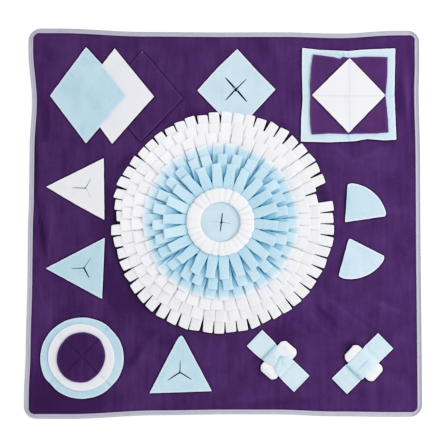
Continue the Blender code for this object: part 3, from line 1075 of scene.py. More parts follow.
def makeBinding():
    # loops from under the mat, round its edge and over the top
    bm = bmesh.new()
    deep, edge = marks(bm, "deep", "edge")
    spots = {}
    loop = None
    across = 0.0
    before = binding["section"][0]
    for section in binding["section"]:
        inset, height, depth = section
        line = matOutline(inset)
        count = len(line)
        loop = growLoop(bm, loop) if loop else startLoop(bm, count)
        across += math.dist(section[:2], before[:2])
        before = section
        for index, vert in enumerate(loop):
            wave = bindingWave(index, count) * binding["wave"] if height > binding["waveFoot"] else 0
            vert.co = (*line[index], height + wave)
            vert[deep] = depth + slopeShade(line[index], inset)
            vert[edge] = smooth((inset - binding["rimInset"]) / binding["rimFade"])
            spots[vert] = (index, across)
    line = matOutline(0)
    length = [0.0]
    for here, after in zip(line, line[1:] + line[:1]):
        length.append(length[-1] + (after - here).length)
    unrollTape(bm, spots, count, length)
    if any(f.calc_center_median().z > binding["top"] and f.normal.z < 0 for f in bm.faces):
        bmesh.ops.reverse_faces(bm, faces=bm.faces[:])
    piece = finishPiece(
        "binding",
        bm,
        bindingTape,
        "lavender_binding",
        ["edge_binding"],
        binding["cloth"],
        rounded=binding["round"],
    )
    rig.sheet(piece, flat=(length[-1] * mm, across * mm), held="folded", rests_on=["panel"])

    seam = bmesh.new()
    line = matOutline(binding["stitchInset"])
    sew(seam, line + line[:1], lambda x, y: binding["stitchHeight"])
    finishStitches("binding_stitches", seam, "lavender")


makePanel()
makeBinding()
print("panel and binding are made")


patch = {
    "cloth": 1.95,
    "step": 2.2,  # the size of the squares that it drapes by
    "gap": 0.3,  # gap and layer are the step up from one layer to the next
    "layer": 1.8,
    "corner": 0.8,
    "rim": (1.2, 1.5),  # widths from the cut edge inwards: the pale rim, which is partly painted highlight, and where it fades
    "rimPale": 0.9,
    "unevenCut": 0.3,
    "unevenWidth": 6,
    "unevenSize": 11,
    "lift": 0.5,
    "liftWidth": 9,
    "liftSize": 38,
    "softRise": 0.12,
    "softSize": 14,
    "seamCuts": (-2.4, -0.8, 0.8, 2.4),  # beside a seam, so that it can be sharp
    "seamWidth": 2.21,
    "seamFade": 1.7,
    "slitLift": 0.8,
    "slitLiftReach": 11,
    "gapeStart": -0.02,  # as a share of the slit's length
    "gapeReach": 9,
    "gapeBluntness": 0.4,
}


def layerTop(below):
    # the top of a patch with this many others under it
    return panel["cloth"] + (below + 1) * (patch["gap"] + patch["layer"])


def cornerPlaces(node, corners):
    # corners are measured right and down from the upper left of the node's box
    low, high = cadBox(node)
    return [Vector((low.x + right, high.y - down)) for right, down in corners]


def edgeDepth(place, outline):
    # how far inside an outline a place is
    depth = math.inf
    for start, end in zip(outline, outline[1:] + outline[:1]):
        way = end - start
        share = clamp((place - start).dot(way) / way.length_squared)
        depth = min(depth, (place - start - way * share).length)
    return depth


def overShare(outline, far, near):
    # how much of a step up a cloth has made where it lies over a convex outline
    def share(x, y):
        out = -math.inf
        for start, end in zip(outline, outline[1:] + outline[:1]):
            way = (end - start).normalized()
            out = max(out, (x - start.x) * way.y - (y - start.y) * way.x)
        return smooth((far - out) / (far - near))

    return share


def placedFolds(node, folds):
    # folds with their places turned from the node's box to the mat
    return [(*cornerPlaces(node, [fold[:2]])[0], *fold[2:]) for fold in folds]


def seamDistance(x, y, middle, turn):
    # how far a place is from the crossed seam
    offset = Vector((x, y)) - middle
    way = polar((0, 0), 1, turn)
    return min(abs(offset.dot(way)), abs(offset.cross(way)))


def dressPatch(bm, outline, height, look, folds, fades):
    # lay a cut face at its height, with an uneven cut, a paler rim that is partly painted highlight, painted shade
    # along its folds and seam, and edges that lift a little
    lift, seed, seam = look.get("lift", patch["lift"]), look["seed"], look.get("seam")
    edge, deep, nap = marks(bm, "edge", "deep", "nap")
    for vert in bm.verts:
        place = vert.co.xy.copy()
        depth = edgeDepth(place, outline)
        cut = patch["unevenCut"] * smooth(1 - depth / patch["unevenWidth"])
        vert.co.x += cut * ripple(*place, patch["unevenSize"], seed)
        vert.co.y += cut * ripple(*place, patch["unevenSize"], seed + 5)
        curl = 0.5 + ripple(*place, patch["liftSize"], seed + 9)
        curl *= lift * smooth(1 - depth / patch["liftWidth"])
        rise = height(*place) + swell(*place) + max(0, curl) + foldSum(*place, folds)
        vert.co.z = rise + patch["softRise"] * ripple(*place, patch["softSize"], seed + 3)
        # the pale rim is partly the cut edge's own paler colour and partly painted highlight; fades take it away where
        # the edge lies in shade
        rim = smooth((sum(patch["rim"]) - depth) / patch["rim"][1])
        vert[edge] = rim * patch["rimPale"] * (1 - clamp(foldSum(*place, fades)))
        vert[nap] = look.get("tone", 0)
        # painted shade along the folds and in the seam's groove
        vert[deep] = foldSum(*place, folds, 1)
        if seam:
            middle, turn, shade = seam
            within = patch["seamWidth"] - seamDistance(*place, middle, turn)
            vert[deep] += shade * smooth(within / patch["seamFade"])


def onArm(edge, middle, arm, near=0.01):
    # whether an edge of the mesh lies along a cut from the middle
    way = arm.normalized()
    offsets = [vert.co.xy - middle for vert in edge.verts]
    return all(abs(o.cross(way)) < near and -near < o.dot(way) < arm.length + near for o in offsets)


def gapeMove(vert, middle, arms, gapes):
    # how far a corner beside the cuts moves away from them
    place = vert.co.xy - middle
    faces = vert.link_faces
    beside = sum((face.calc_center_median().xy for face in faces), Vector((0, 0))) / len(faces)
    move = Vector((0, 0))
    for arm, gape in zip(arms, gapes):
        way = arm.normalized()
        along = place.dot(way) / arm.length
        if patch["gapeStart"] < along < 1:
            width = gape / 2 * (1 - clamp(along) ** 2) ** patch["gapeBluntness"]
            width *= math.exp(-abs(way.cross(place)) / patch["gapeReach"])
            move += sideways(way) * math.copysign(width, way.cross(beside - middle))
    return move


def openSlit(bm, middle, ends, gapes):
    # cut from a middle to each end, and let each cut gape and lift
    arms = [end - middle for end in ends]
    for arm in arms:
        cutAcross(bm, middle, arm.normalized())
    cut = [edge for edge in bm.edges if any(onArm(edge, middle, arm) for arm in arms)]
    bmesh.ops.split_edges(bm, edges=cut)
    moves = [gapeMove(vert, middle, arms, gapes) for vert in bm.verts]
    for vert, move in zip(bm.verts, moves):
        lift = patch["slitLift"] * falloff((vert.co.xy - middle).length, patch["slitLiftReach"])
        vert.co += Vector((*move, lift))


def makePatch(name, look):
    # cut, dress and finish one patch; it gives back the outline
    outline = look.get("outline") or cornerPlaces(name, look["corners"])
    bm = flatFace(outline)
    if "corners" in look:
        roundCorners(bm, patch["corner"])
    for width in patch["rim"]:
        inside = max(bm.faces, key=lambda face: face.calc_area())
        bmesh.ops.inset_region(bm, faces=[inside], thickness=width, use_even_offset=True)
    cutGrid(bm, patch["step"])
    if "seam" in look:
        middle, turn, _ = look["seam"]
        for arm in (turn, turn + 90):
            way = polar((0, 0), 1, arm)
            for side in patch["seamCuts"]:
                cutAcross(bm, middle + sideways(way) * side, way)
    faceUp(bm)
    thick = look.get("cloth", patch["cloth"])
    height = look.get("height") or (lambda x, y: layerTop(0) + thick - patch["cloth"])
    area = surface(bm)
    folds, fades = [placedFolds(name, look.get(kind, ())) for kind in ("folds", "fades")]
    dressPatch(bm, outline, height, look, folds, fades)
    if "slit" in look:
        middle, *ends = cornerPlaces(name, look["slit"])
        openSlit(bm, middle, ends, look["gape"])
    piece = finishCloth(name + "_cloth", bm, look["colour"], [name], thick)
    low, high = cadBox(name)
    size = high - low
    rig.sheet(
        piece,
        flat=(size.x * mm, size.y * mm),
        held="laid",
        rests_on=look.get("on", ["panel"]),
        area=min(area, size.x * size.y) * mm * mm,
    )
    return outline


diamonds = {
    # measured out from a lower diamond's edge: where the one over it starts to climb, and where it is up
    "climb": (26, 2),
    "secondClimb": (34, 10),
    "tack": (67, 3.4),  # one pale stitch at the top of the lowest diamond
    "tackLength": (1, 0.4),
    "tackProud": 0.1,
    "diamond_purple": {
        "colour": "purple",
        "corners": ((65, 164), (140, 86), (67, 0), (0, 84)),
        "seed": 11.0,
        "cloth": 1.2,
    },
    "diamond_white": {
        "colour": "white",
        "corners": ((61.4, 170), (135.3, 86), (65.5, 0), (0, 85)),
        "seed": 12.0,
        "tone": -0.6,
        "on": ["diamond_purple_cloth"],
    },
    "diamond_blue": {
        "colour": "blue",
        "corners": ((64, 171.5), (137, 87.5), (91.6, 31), (63.5, 0), (0, 87)),
        "seed": 13.0,
        "tone": -0.12,
        "folds": (
            # place, direction, half length, half width, height, shade
            (38, 50, -51, 12, 3.6, -0.3, 0.20),
            (24, 70, -62, 13, 5, 0, 0.08),
            (46, 96, -58, 20, 7, 0, 0.06),
            (58, 148, 84, 24, 9, 0, 0.10),
            (80, 108, 30, 18, 8, 0, 0.05),
            (60, 24, 60, 15, 6, 0, 0.06),
        ),
        "on": ["diamond_white_cloth"],
    },
    "diamond_slit": {
        "colour": "paleBlue",
        "corners": ((69.5, 147), (138.5, 72.3), (104.7, 37.8), (71, 0), (34.3, 35.4), (0, 74)),
        "seed": 14.0,
        "tone": -0.12,
        "slit": ((68.5, 72), (49, 50.5), (89, 95.5), (88, 52.5), (49, 92.5)),
        "gape": (3.8, 3.8, 2.5, 3.0),
        "folds": (
            (43, 74, 90, 48, 5, -0.3, 0.15),
            (33, 80, 88, 36, 10, 0, 0.05),
            (52, 106, 60, 18, 7, 0, 0.10),
            (104, 60, 70, 22, 9, 0, 0.04),
        ),
    },
}


def makeDiamonds():
    step = patch["gap"] + patch["layer"]
    purple = makePatch("diamond_purple", diamonds["diamond_purple"])
    onPurple = overShare(purple, *diamonds["climb"])
    diamonds["diamond_white"]["height"] = lambda x, y: layerTop(0) + step * onPurple(x, y)
    white = makePatch("diamond_white", diamonds["diamond_white"])
    onWhite = overShare(white, *diamonds["climb"])
    onBoth = overShare(purple, *diamonds["secondClimb"])
    diamonds["diamond_blue"]["height"] = lambda x, y: layerTop(0) + step * (onWhite(x, y) + onBoth(x, y))
    makePatch("diamond_blue", diamonds["diamond_blue"])
    makePatch("diamond_slit", diamonds["diamond_slit"])

    tack = bmesh.new()
    place = cornerPlaces("diamond_purple", [diamonds["tack"]])[0]
    line = [place, place + Vector(diamonds["tackLength"])]
    sew(tack, line, lambda x, y: layerTop(0) + swell(x, y) + diamonds["tackProud"])
    finishStitches("diamond_tack", tack, "white")


triangles = {
    "triangle_white": {
        "colour": "white",
        "corners": ((0, 50.5), (51, 80.8), (102.7, 109), (101, 0)),
        "seed": 21.0,
        "tone": -0.3,
        "slit": ((69.5, 53), (43.5, 52), (80.5, 33), (80.5, 72)),
        "gape": (1.7, 1.4, 0.6),
        "folds": ((24, 52, 10, 26, 14, 0, 0.3), (50, 60, 60, 20, 8, 0, 0.2)),
    },
    "triangle_blue": {
        "colour": "blue",
        "corners": ((0, 53.7), (99.3, 107.2), (103.5, 0)),
        "seed": 22.0,
        "tone": -0.25,
        "slit": ((67.5, 53), (43.5, 54), (81.5, 32), (77.5, 72)),
        "gape": (1.6, 1.2, 2.8),
        "folds": (
            (60, 30, 30, 22, 6, 0, 0.05),
            (84, 60, 80, 24, 6, 0, 0.05),
            (40, 70, -20, 20, 7, 0, 0.04),
        ),
    },
    "triangle_low": {
        "colour": "blue",
        "corners": ((55.6, 0.6), (50.6, 4.2), (35, 33.5), (0, 101.3), (109.3, 97.6), (59.2, 3.8)),
        "seed": 23.0,
        "tone": 0.0,
        "slit": ((53.4, 64.6), (53.6, 42), (30.8, 79.6), (76, 78.8)),
        "gape": (2.0, 2.6, 2.4),
        "folds": (
            (26, 66, 62, 26, 6, 0, 0.10),
            (58, 36, 84, 18, 6, 0, 0.08),
            (84, 78, -60, 26, 7, 0, 0.06),
            (50, 22, 60, 14, 4, 0, 0.10),
        ),
    },
}


makeDiamonds()
for name, look in triangles.items():
    makePatch(name, look)
print("diamonds and triangles are made")


# two stitched stacks of three layers: a square and a disc
crossedSeam = {
    "length": 120,  # from the middle, cut short by each layer's outline
    "step": 2,
    "fewest": 3,  # a piece of the seam needs more steps than this
    "reach": 8,  # how soon a layer is as full as it gets beside the seam
}
squares = {
    "turn": 0,
    "middle": (85, 86),  # right and down from the upper left of the lowest layer
    "layers": {
        "square_blue": {
            "colour": "paleBlue",
            "corners": (
                (0, 167), (50, 168.3), (84, 166.9), (98, 165.9), (118, 162.3), (147, 164.7),
                (169, 163.7), (167.5, 121), (166, 85), (167.4, 40), (168.3, 1),
                (110, 3.3), (86, 5.6), (35, 3.8), (3, 0.3),
                (2.5, 40), (3.5, 94), (1, 125),
            ),
            "seed": 31.0,
            "folds": (
                (66, 10, -34, 15, 5, -0.4, 0.22),
                (76, 13, 84, 10, 2.8, -0.3, 0.5),
                (83, 157, 88, 11, 3, -0.3, 0.30),
                (120, 160, 20, 13, 5, 0, 0.14),
                (8, 60, 80, 24, 7, 0, 0.09),
                (160, 122, 84, 18, 6, 0, 0.10),
            ),
            "seamShade": 0.16,
            "full": 0.2,
        },
        "square_purple": {
            "colour": "brightPurple",
            "corners": (
                (2, 143), (34, 141), (68, 142.2), (93, 141.4), (118, 141.2), (138, 139),
                (137.2, 115), (133.2, 74), (136.5, 40), (137.3, 4.8),
                (98, 4.1), (66, 5.9), (58.5, 4.2), (52.5, 8.2), (44, 5.4), (5, 0),
                (1.2, 26), (-0.7, 57), (0.2, 74), (-0.8, 97), (-0.5, 122),
            ),
            "seed": 32.0,
            "seamShade": 0.35,
            "full": 0.8,
            "on": ["square_blue_cloth"],
        },
        "square_diamond": {
            "colour": "white",
            "corners": ((64.1, 133), (129.1, 66.5), (66.5, 0), (-0.1, 65.8)),
            "seed": 33.0,
            "tone": -0.6,
            "folds": ((60, 66, 90, 64, 8, 0, 0.3), (66, 70, 0, 60, 5, 0, 0.15)),
            "seamShade": 0.5,
            "full": 1.5,
            "on": ["square_purple_cloth"],
        },
    },
}
discs = {
    "turn": 45,
    "middle": (72.7, 67.9),
    "layers": {
        # round: the middle, the radius, and how much longer it is along a direction
        "disc_blue": {
            "colour": "blue",
            "round": ((73.1, 70.9), 72, (1.1, 0)),
            "dents": ((1.2, 40, 12), (1.7, 221, 8), (0.8, 318, 8), (-0.6, 205, 10)),
            "seed": 41.0,
            "tone": -0.12,
            "folds": (
                (116, 19, 62, 10, 3.2, -0.4, 0.32),
                (124, 30, 40, 9, 3.0, 0.3, 0.20),
                (120, 116, -44, 12, 3.2, -0.4, 0.32),
                (112, 124, -70, 9, 3.0, 0, 0.20),
                (19, 113, 218, 12, 3.4, -0.5, 0.38),
                (32, 124, 250, 9, 3.0, 0, 0.22),
                (27, 30, 130, 12, 3.4, 0, 0.12),
                (6, 72, 90, 22, 5, 0, 0.06),
            ),
            "seamShade": 0.12,
            "full": 0.3,
        },
        "disc_white": {
            "colour": "white",
            "round": ((57.9, 58.1), 58, (0.8, -47)),
            "dents": ((0.9, 37, 12), (0.7, 224, 10)),
            "seed": 42.0,
            "tone": -0.55,
            "folds": (
                (21, 24, 137, 12, 3.0, -0.3, 0.9),
                (95, 93, -42, 11, 3.0, -0.3, 0.55),
                (88, 20, 52, 10, 2.8, -0.2, 0.6),
                (16, 92, 215, 10, 2.8, -0.2, 0.5),
            ),
            "seamShade": 0.35,
            "full": 0.9,
            "on": ["disc_blue_cloth"],
        },
        "disc_purple": {
            "colour": "purple",
            "round": ((42.2, 43.8), 43, (1.5, 62)),
            "dents": ((-0.7, 45, 12), (-0.8, 119, 12), (-0.8, 285, 12)),
            "seed": 43.0,
            "tone": -0.35,
            "seamShade": 0.6,
            "full": 1.7,
            "lift": 0.15,
            "on": ["disc_white_cloth"],
        },
    },
}


handCut = {
    "step": 5,  # degrees between the points of a round outline
    "uneven": 0.35,  # how far the cut wavers
    "waves": 9,
    "waveSize": 5,
}


def roundOutline(name, middle, radius, oval=(0, 0), dents=()):
    # a hand-cut disc; each dent is how deep it is, where it faces and its width, in degrees
    centre = cornerPlaces(name, [middle])[0]
    longer, direction = oval
    points = []
    for turn in range(0, 360, handCut["step"]):
        reach = radius + longer * math.cos(math.radians(2 * (turn - direction)))
        wave = polar((0, 0), handCut["waves"], turn)
        reach += handCut["uneven"] * ripple(*wave, handCut["waveSize"], radius)
        for depth, facing, width in dents:
            away = (turn - facing + 180) % 360 - 180
            reach -= depth * falloff(away, width)
        points.append(polar(centre, reach, turn))
    return points


def makeStack(stack):
    # layers that are sewn down along a crossed seam and stand a little fuller beside it
    lowest = next(iter(stack["layers"]))
    middle = cornerPlaces(lowest, [stack["middle"]])[0]
    tops = []
    for below, (name, look) in enumerate(stack["layers"].items()):
        if "round" in look:
            look["outline"] = roundOutline(name, *look["round"], look["dents"])

        def height(x, y, below=below, full=look["full"]):
            away = seamDistance(x, y, middle, stack["turn"])
            return layerTop(below) + full * (1 - math.exp(-away / crossedSeam["reach"]))

        look["height"] = height
        look["seam"] = (middle, stack["turn"], look["seamShade"])
        outline = makePatch(name, look)
        tops.append((name, look["colour"], outline, height))
    sewStack(stack, middle, tops)


def inOutline(place, outline):
    # whether a place is inside an outline
    inside = False
    for start, end in zip(outline, outline[1:] + outline[:1]):
        if (start.y > place.y) != (end.y > place.y):
            cross = start.x + (place.y - start.y) * (end.x - start.x) / (end.y - start.y)
            if place.x < cross:
                inside = not inside
    return inside


def sewStack(stack, middle, tops):
    # the crossed seam, in thread of the colour of whatever layer is on top
    covers = [outline for _, _, outline, _ in tops[1:]] + [None]
    for (name, colour, outline, height), cover in zip(tops, covers):
        lines = []
        for turn in range(0, 360, 90):
            reaches = range(0, crossedSeam["length"], crossedSeam["step"])
            places = [polar(middle, reach, stack["turn"] + turn) for reach in reaches]
            shown = [p for p in places if inOutline(p, outline) and not (cover and inOutline(p, cover))]
            if len(shown) > crossedSeam["fewest"]:
                lines.append(shown[:-1])
        if not lines:  # the seam of a layer that is covered there doesn't show
            continue
        bm = bmesh.new()
        for line in lines:
            sew(bm, line, lambda x, y, height=height: height(x, y) + swell(x, y) + stitch["proud"])
        finishStitches(name + "_stitches", bm, colour)


makeStack(squares)
makeStack(discs)
print("stitched stacks are made")


quarters = {
    # a corner with a small round, and an arc that is a little squarer than a circle's at its ends
    "cornerTurns": (-50, -25, 0, 25, 50),
    "arcSteps": 28,
    "squareness": 0.045,
    "squareEnds": 14,  # a power: the higher, the nearer to its ends the arc is squarer
    "patches": {
        "quarter_upper": {
            "colour": "paleBlue",
            "apex": (-0.2, 66.5),
            "apexRound": (-0.5, 0.9),
            "arc": (7.4, 87),
            "reach": (73, 67.7),
            "seed": 51.0,
            "tone": -0.7,
            "folds": (
                (4, 30, 86, 44, 7, 0, 0.26),
                (12, 34, 84, 36, 9, 0, 0.08),
                (30, 52, 10, 26, 8, 0, 0.04),
            ),
            # fades: along this edge, which lies in shade, the pale rim's painted highlight is taken away
            "fades": ((2, 32, 87, 44, 7, 1.0),),
            "lift": 0.9,
        },
        "quarter_lower": {
            "colour": "paleBlue",
            "apex": (21, -1.4),
            "apexRound": (1.6, 3.0),
            "arc": (-107.4, -25.4),
            "reach": (69, 69.6),
            "seed": 52.0,
            "tone": -0.3,
            "folds": ((12, 50, 66, 30, 8, 0, 0.10), (8, 34, 72, 36, 5, 0, 0.10)),
            # fades: the same along this edge, which lies in shade
            "fades": ((9, 32, 72, 40, 7, 0.8),),
            "lift": 0.9,
        },
    },
}


def quarterOutline(name, look):
    # a rounded corner and the arc across from it
    apex = cornerPlaces(name, [look["apex"]])[0]
    first, last = look["arc"]
    offset, radius = look["apexRound"]
    facing = (first + last) / 2
    middle = polar(apex, offset, facing)
    points = [polar(middle, radius, facing + 180 + turn) for turn in quarters["cornerTurns"]]
    for step in range(quarters["arcSteps"] + 1):
        share = step / quarters["arcSteps"]
        reach = look["reach"][0] + (look["reach"][1] - look["reach"][0]) * share
        reach *= 1 - quarters["squareness"] * (2 * share - 1) ** quarters["squareEnds"]
        points.append(polar(apex, reach, first + (last - first) * share))
    return points


for name, look in quarters["patches"].items():
    look["outline"] = quarterOutline(name, look)
    makePatch(name, look)
print("quarter rounds are made")


# a pad is one cloth folded in three, and a strap lies over it
pads = {
    "cloth": 1.8,
    "cornerRadius": 7,
    "cornerRound": (0.55, 0.4),  # how much of a corner is round, and how much is cut straight
    "turnOut": 2.2,  # how far a fold goes past the layers' ends
    "foldTurns": (30, 60, 90, 120, 150),
    "layerSteps": 40,
    "lowestOut": 1.5,  # the lowest layer shows a little past the fold above it
    "padAcross": 14,
    "crown": 1.6,  # the pad's two ends puff up beside the strap
    "crownPlace": 26,
    "crownWidth": 6,
    "crownRound": 0.6,
    "narrowing": 0.03,  # the upper layers are a little narrower
    "droop": 1.0,
    "softRise": 0.35,
    "softSize": 12,
    "strapAcross": 28,
    "strapStep": 1.3,
    "strapFoot": 5.0,  # from the pad's edge to where the strap meets the panel
    "strapShoulder": 2.6,
    "strapLevel": 6,  # how far before the foot the strap lies level
    "strapBend": 4,
    "strapCrown": 8,
    # heights over the panel's level at the foot, and over the pad's at the rest
    "strapRise": {"foot": 0.2, "shoulder": -2.2, "bend": 0.2, "crown": 1.2, "middle": 1.0},
    "strapDroop": 1.2,
    "shoulderEase": 5,
    "pinchPower": 1.4,
    "waveHeight": 0.4,
    "waveSize": 15,
    "waveStart": 8,
    "footWidth": 1.5,
    "rimStart": 0.86,  # the pale rim, as a share of the half width
    "rimEase": 0.1,
    "rimTurned": 0.85,
    "overPad": 24,
    "overPadEase": 6,
    "stitchInset": 3.2,
    "stitchFromFoot": 3.5,
    "stitchProud": 0.15,
    "left": {
        "seed": 4.0,
        "turn": 49.5,
        "size": (66.4, 35),
        "strapTurn": -44,
        "strapSize": (115.4, 39),
        # each edge of the strap is drawn in: how far, where, and how soon it eases before and after
        "pinch": {1: (9.0, -1.4, 12, 6), -1: (8.6, 0, 16, 12)},
        "footShade": (0.55, 0.3),
        "folds": (
            # along and across the strap, direction, half length, half width, height, shade
            (-3.0, 4.0, 110, 11, 3.4, -1.7, 0.5),
            (-1.0, 9.0, 80, 6, 5.5, -0.9, 0.6),
            (1.0, -6.0, 100, 8, 3.2, -1.2, 0.38),
            (6.5, 2.0, -44, 11, 3.0, -0.7, 0.22),
            (-12, -3.0, 22, 11, 2.4, -0.4, 0.12),
            (-13, 5.0, 8, 9, 8, 1.2, 0.0),
            (13, 6.0, -30, 9, 4, 0.7, 0.0),
            (12, -9.0, 60, 7, 2.4, -0.3, 0.10),
            (-30, 2.0, 60, 10, 5, 0, 0.05),
        ),
        "padFolds": ((-29.6, -1, 88, 13, 1.9, -0.4, 0.9), (25, 6, 70, 10, 5, 0, 0.35)),
    },
    "right": {
        "seed": 6.0,
        "turn": -41.5,
        "size": (66.4, 34.5),
        "strapTurn": 44.2,
        "strapSize": (114, 37.8),
        "pinch": {1: (0.6, 0, 10, 10), -1: (2.0, -4, 12, 12)},
        "footShade": (0.12, 0.08),
        "folds": (
            (0, -0.5, 1, 28, 2.8, -1.3, 0.46),
            (0, 3.5, 0, 18, 4, 0.7, 0.0),
            (3, -7.0, 4, 17, 6, -0.3, 0.10),
            (-22.6, 7.5, 86, 15, 3.4, -0.5, 0.42),
            (-19, -9, 128, 10, 3.2, -0.4, 0.30),
            (21, 4, 117, 14, 2.6, -0.3, 0.24),
            (26, -8, 60, 9, 2.4, 0, 0.12),
            (-32, 2, 20, 10, 5, 0, 0.06),
        ),
        "padFolds": ((29.5, 2, 92, 11, 1.9, -0.3, 0.4), (-26, -6, 80, 9, 5, 0, 0.35)),
    },
}


def softPath(points, step):
    # places about a step apart along a smooth line through the points
    places = []
    points = [Vector(p) for p in points]
    for index, (start, end) in enumerate(zip(points, points[1:])):
        before = points[max(index - 1, 0)]
        after = points[min(index + 2, len(points) - 1)]
        count = max(1, round((end - start).length / step))
        for part in range(count):
            t = part / count
            straight = (end - before) * t
            bend = (2 * before - 5 * start + 4 * end - after) * t**2
            turn = (3 * start - before - 3 * end + after) * t**3
            places.append(0.5 * (2 * start + straight + bend + turn))
    places.append(points[-1])
    return places


def makeRibbon(node, turn, path, across, shape, colour, held):
    # a cloth along a path; shape gives a corner's place along and off, its height and its shade
    bm = bmesh.new()
    edge, deep = marks(bm, "edge", "deep")
    bmesh.ops.create_grid(bm, x_segments=len(path) - 1, y_segments=across, size=1)
    centre = cadMiddle(node)
    way = polar((0, 0), 1, turn)
    length = sum((end - start).length for start, end in zip(path, path[1:]))
    for vert in bm.verts:
        row = round((vert.co.x + 1) / 2 * (len(path) - 1))
        share = vert.co.y
        along, off, height, shade = shape(path[row], share)
        flat = centre + way * along + sideways(way) * off
        vert.co = (*flat, height)
        over = 0
        if colour == "paleBlue":  # a strap's cut edges turn down over the pad, so their rim shows less
            over = smooth((pads["overPad"] - abs(along)) / pads["overPadEase"])
        # the pale rim along the cut edges is partly painted highlight
        rim = smooth((abs(share) - pads["rimStart"]) / pads["rimEase"])
        vert[edge] = rim * (1 - pads["rimTurned"] * over)
        vert[deep] = shade
    faceUp(bm)
    area = surface(bm)
    piece = finishCloth(node + "_cloth", bm, colour, [node], pads["cloth"], offset=0.0)
    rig.sheet(piece, flat=(area / length * mm, length * mm), held=held, rests_on=["panel"])


def padLevels():
    # the heights of a pad's three layers
    lowest = panel["cloth"] + patch["gap"] + pads["cloth"] / 2
    step = pads["cloth"] + 2 * patch["gap"]
    return [lowest + step * layer for layer in range(3)]


def padPath(half):
    # there, back and there again, with a fold at each end
    levels = padLevels()
    count = pads["layerSteps"]
    run = [half * (2 * part / count - 1) for part in range(count + 1)]
    path = []
    for layer, level in enumerate(levels):
        hand = -1 if layer == 1 else 1
        path += [Vector((along * hand, level)) for along in run]
        if layer == 2:
            break
        middle = (level + levels[layer + 1]) / 2
        for turn in pads["foldTurns"]:
            out, up = math.sin(math.radians(turn)), -math.cos(math.radians(turn))
            rise = (levels[layer + 1] - level) / 2 * up
            path.append(Vector((hand * (half + pads["turnOut"] * out), middle + rise)))
    path[0].x -= pads["lowestOut"]
    return path


def makePad(side):
    # a cloth folded in three, with rounded corners and a puff at each end
    look = pads[side]
    levels = padLevels()
    radius = pads["cornerRadius"]
    roundShare, straightShare = pads["cornerRound"]
    end = look["size"][0] / 2
    wide = look["size"][1] / 2

    def shape(place, across):
        near = clamp((abs(place.x) - end + radius) / radius)
        corner = roundShare * (1 - math.sqrt(max(0, 1 - near**2))) + straightShare * near
        level = clamp((place.y - levels[0]) / (levels[2] - levels[0]))
        off = (wide - radius * corner) * across * (1 - pads["narrowing"] * level)
        puff = pads["crown"] * falloff(abs(place.x) - pads["crownPlace"], pads["crownWidth"])
        rise = puff * (1 - across**2 * pads["crownRound"]) - pads["droop"] * abs(across) ** 5
        rise += pads["softRise"] * ripple(place.x, across * wide, pads["softSize"], look["seed"])
        rise += foldSum(place.x, off, look["padFolds"])
        return place.x, off, place.y + level * rise, foldSum(place.x, off, look["padFolds"], 1) * level

    path = padPath(end - pads["turnOut"])
    makeRibbon("pad_" + side, look["turn"], path, pads["padAcross"], shape, "white", "folded")


def strapPath(end, foot, shoulder):
    # over the pad from one end to the other, as places along and heights, with its corners eased
    low, _, high = padLevels()
    top = high + pads["cloth"] + 3 * patch["gap"]
    rise = pads["strapRise"]
    half = [
        (end, low),
        (foot + pads["strapLevel"], low),
        (foot, low + rise["foot"]),
        (shoulder, top + rise["shoulder"]),
        (shoulder - pads["strapBend"], top + rise["bend"]),
        (pads["strapCrown"], top + rise["crown"]),
    ]
    return [(-along, height) for along, height in half] + [(0, top + rise["middle"])] + half[::-1]


def makeStrap(side):
    # a cloth over the pad, drawn in at its middle and sewn down at both ends
    look = pads[side]
    node = "strap_" + side
    centre = cadMiddle(node)
    end = look["strapSize"][0] / 2
    wide = look["strapSize"][1] / 2
    foot = look["size"][1] / 2 + pads["strapFoot"]
    shoulder = look["size"][1] / 2 + pads["strapShoulder"]

    def shape(place, across):
        pinch, middle, before, after = look["pinch"][1 if across > 0 else -1]
        past = abs(place.x - middle) / (before if place.x < middle else after)
        off = across * (wide - pinch * math.exp(-(past ** pads["pinchPower"])))
        raised = smooth((shoulder - abs(place.x)) / pads["shoulderEase"])
        height = place.y + foldSum(place.x, off, look["folds"])
        height -= raised * pads["strapDroop"] * abs(across) ** 3
        wave = pads["waveHeight"] * max(0, ripple(place.x, off, pads["waveSize"], 8.0))
        height += wave * smooth((abs(place.x) - foot) / pads["waveStart"])
        height += swell(*centre) * (1 - raised)
        shade = foldSum(place.x, off, look["folds"], 1)
        footShade = look["footShade"][0 if place.x < 0 else 1]
        shade += footShade * falloff(abs(place.x) - foot, pads["footWidth"])
        return place.x, off, height, shade

    path = softPath(strapPath(end, foot, shoulder), pads["strapStep"])
    makeRibbon(node, look["strapTurn"], path, pads["strapAcross"], shape, "paleBlue", "laid")

    seam = bmesh.new()
    way = polar((0, 0), 1, look["strapTurn"])
    top = padLevels()[0] + pads["cloth"] / 2 + swell(*centre) + pads["stitchProud"]
    inner, outer = foot + pads["stitchFromFoot"], end - pads["stitchInset"]
    reach = wide - pads["stitchInset"]
    for hand in (-1, 1):
        box = [(inner, -reach), (outer, -reach), (outer, reach), (inner, reach), (inner, -reach)]
        line = [centre + way * hand * along + sideways(way) * off for along, off in box]
        sew(seam, line, lambda x, y: top)
    finishStitches(node + "_stitches", seam, "blue")


for side in ("left", "right"):
    makePad(side)
    makeStrap(side)
print("strapped pads are made")


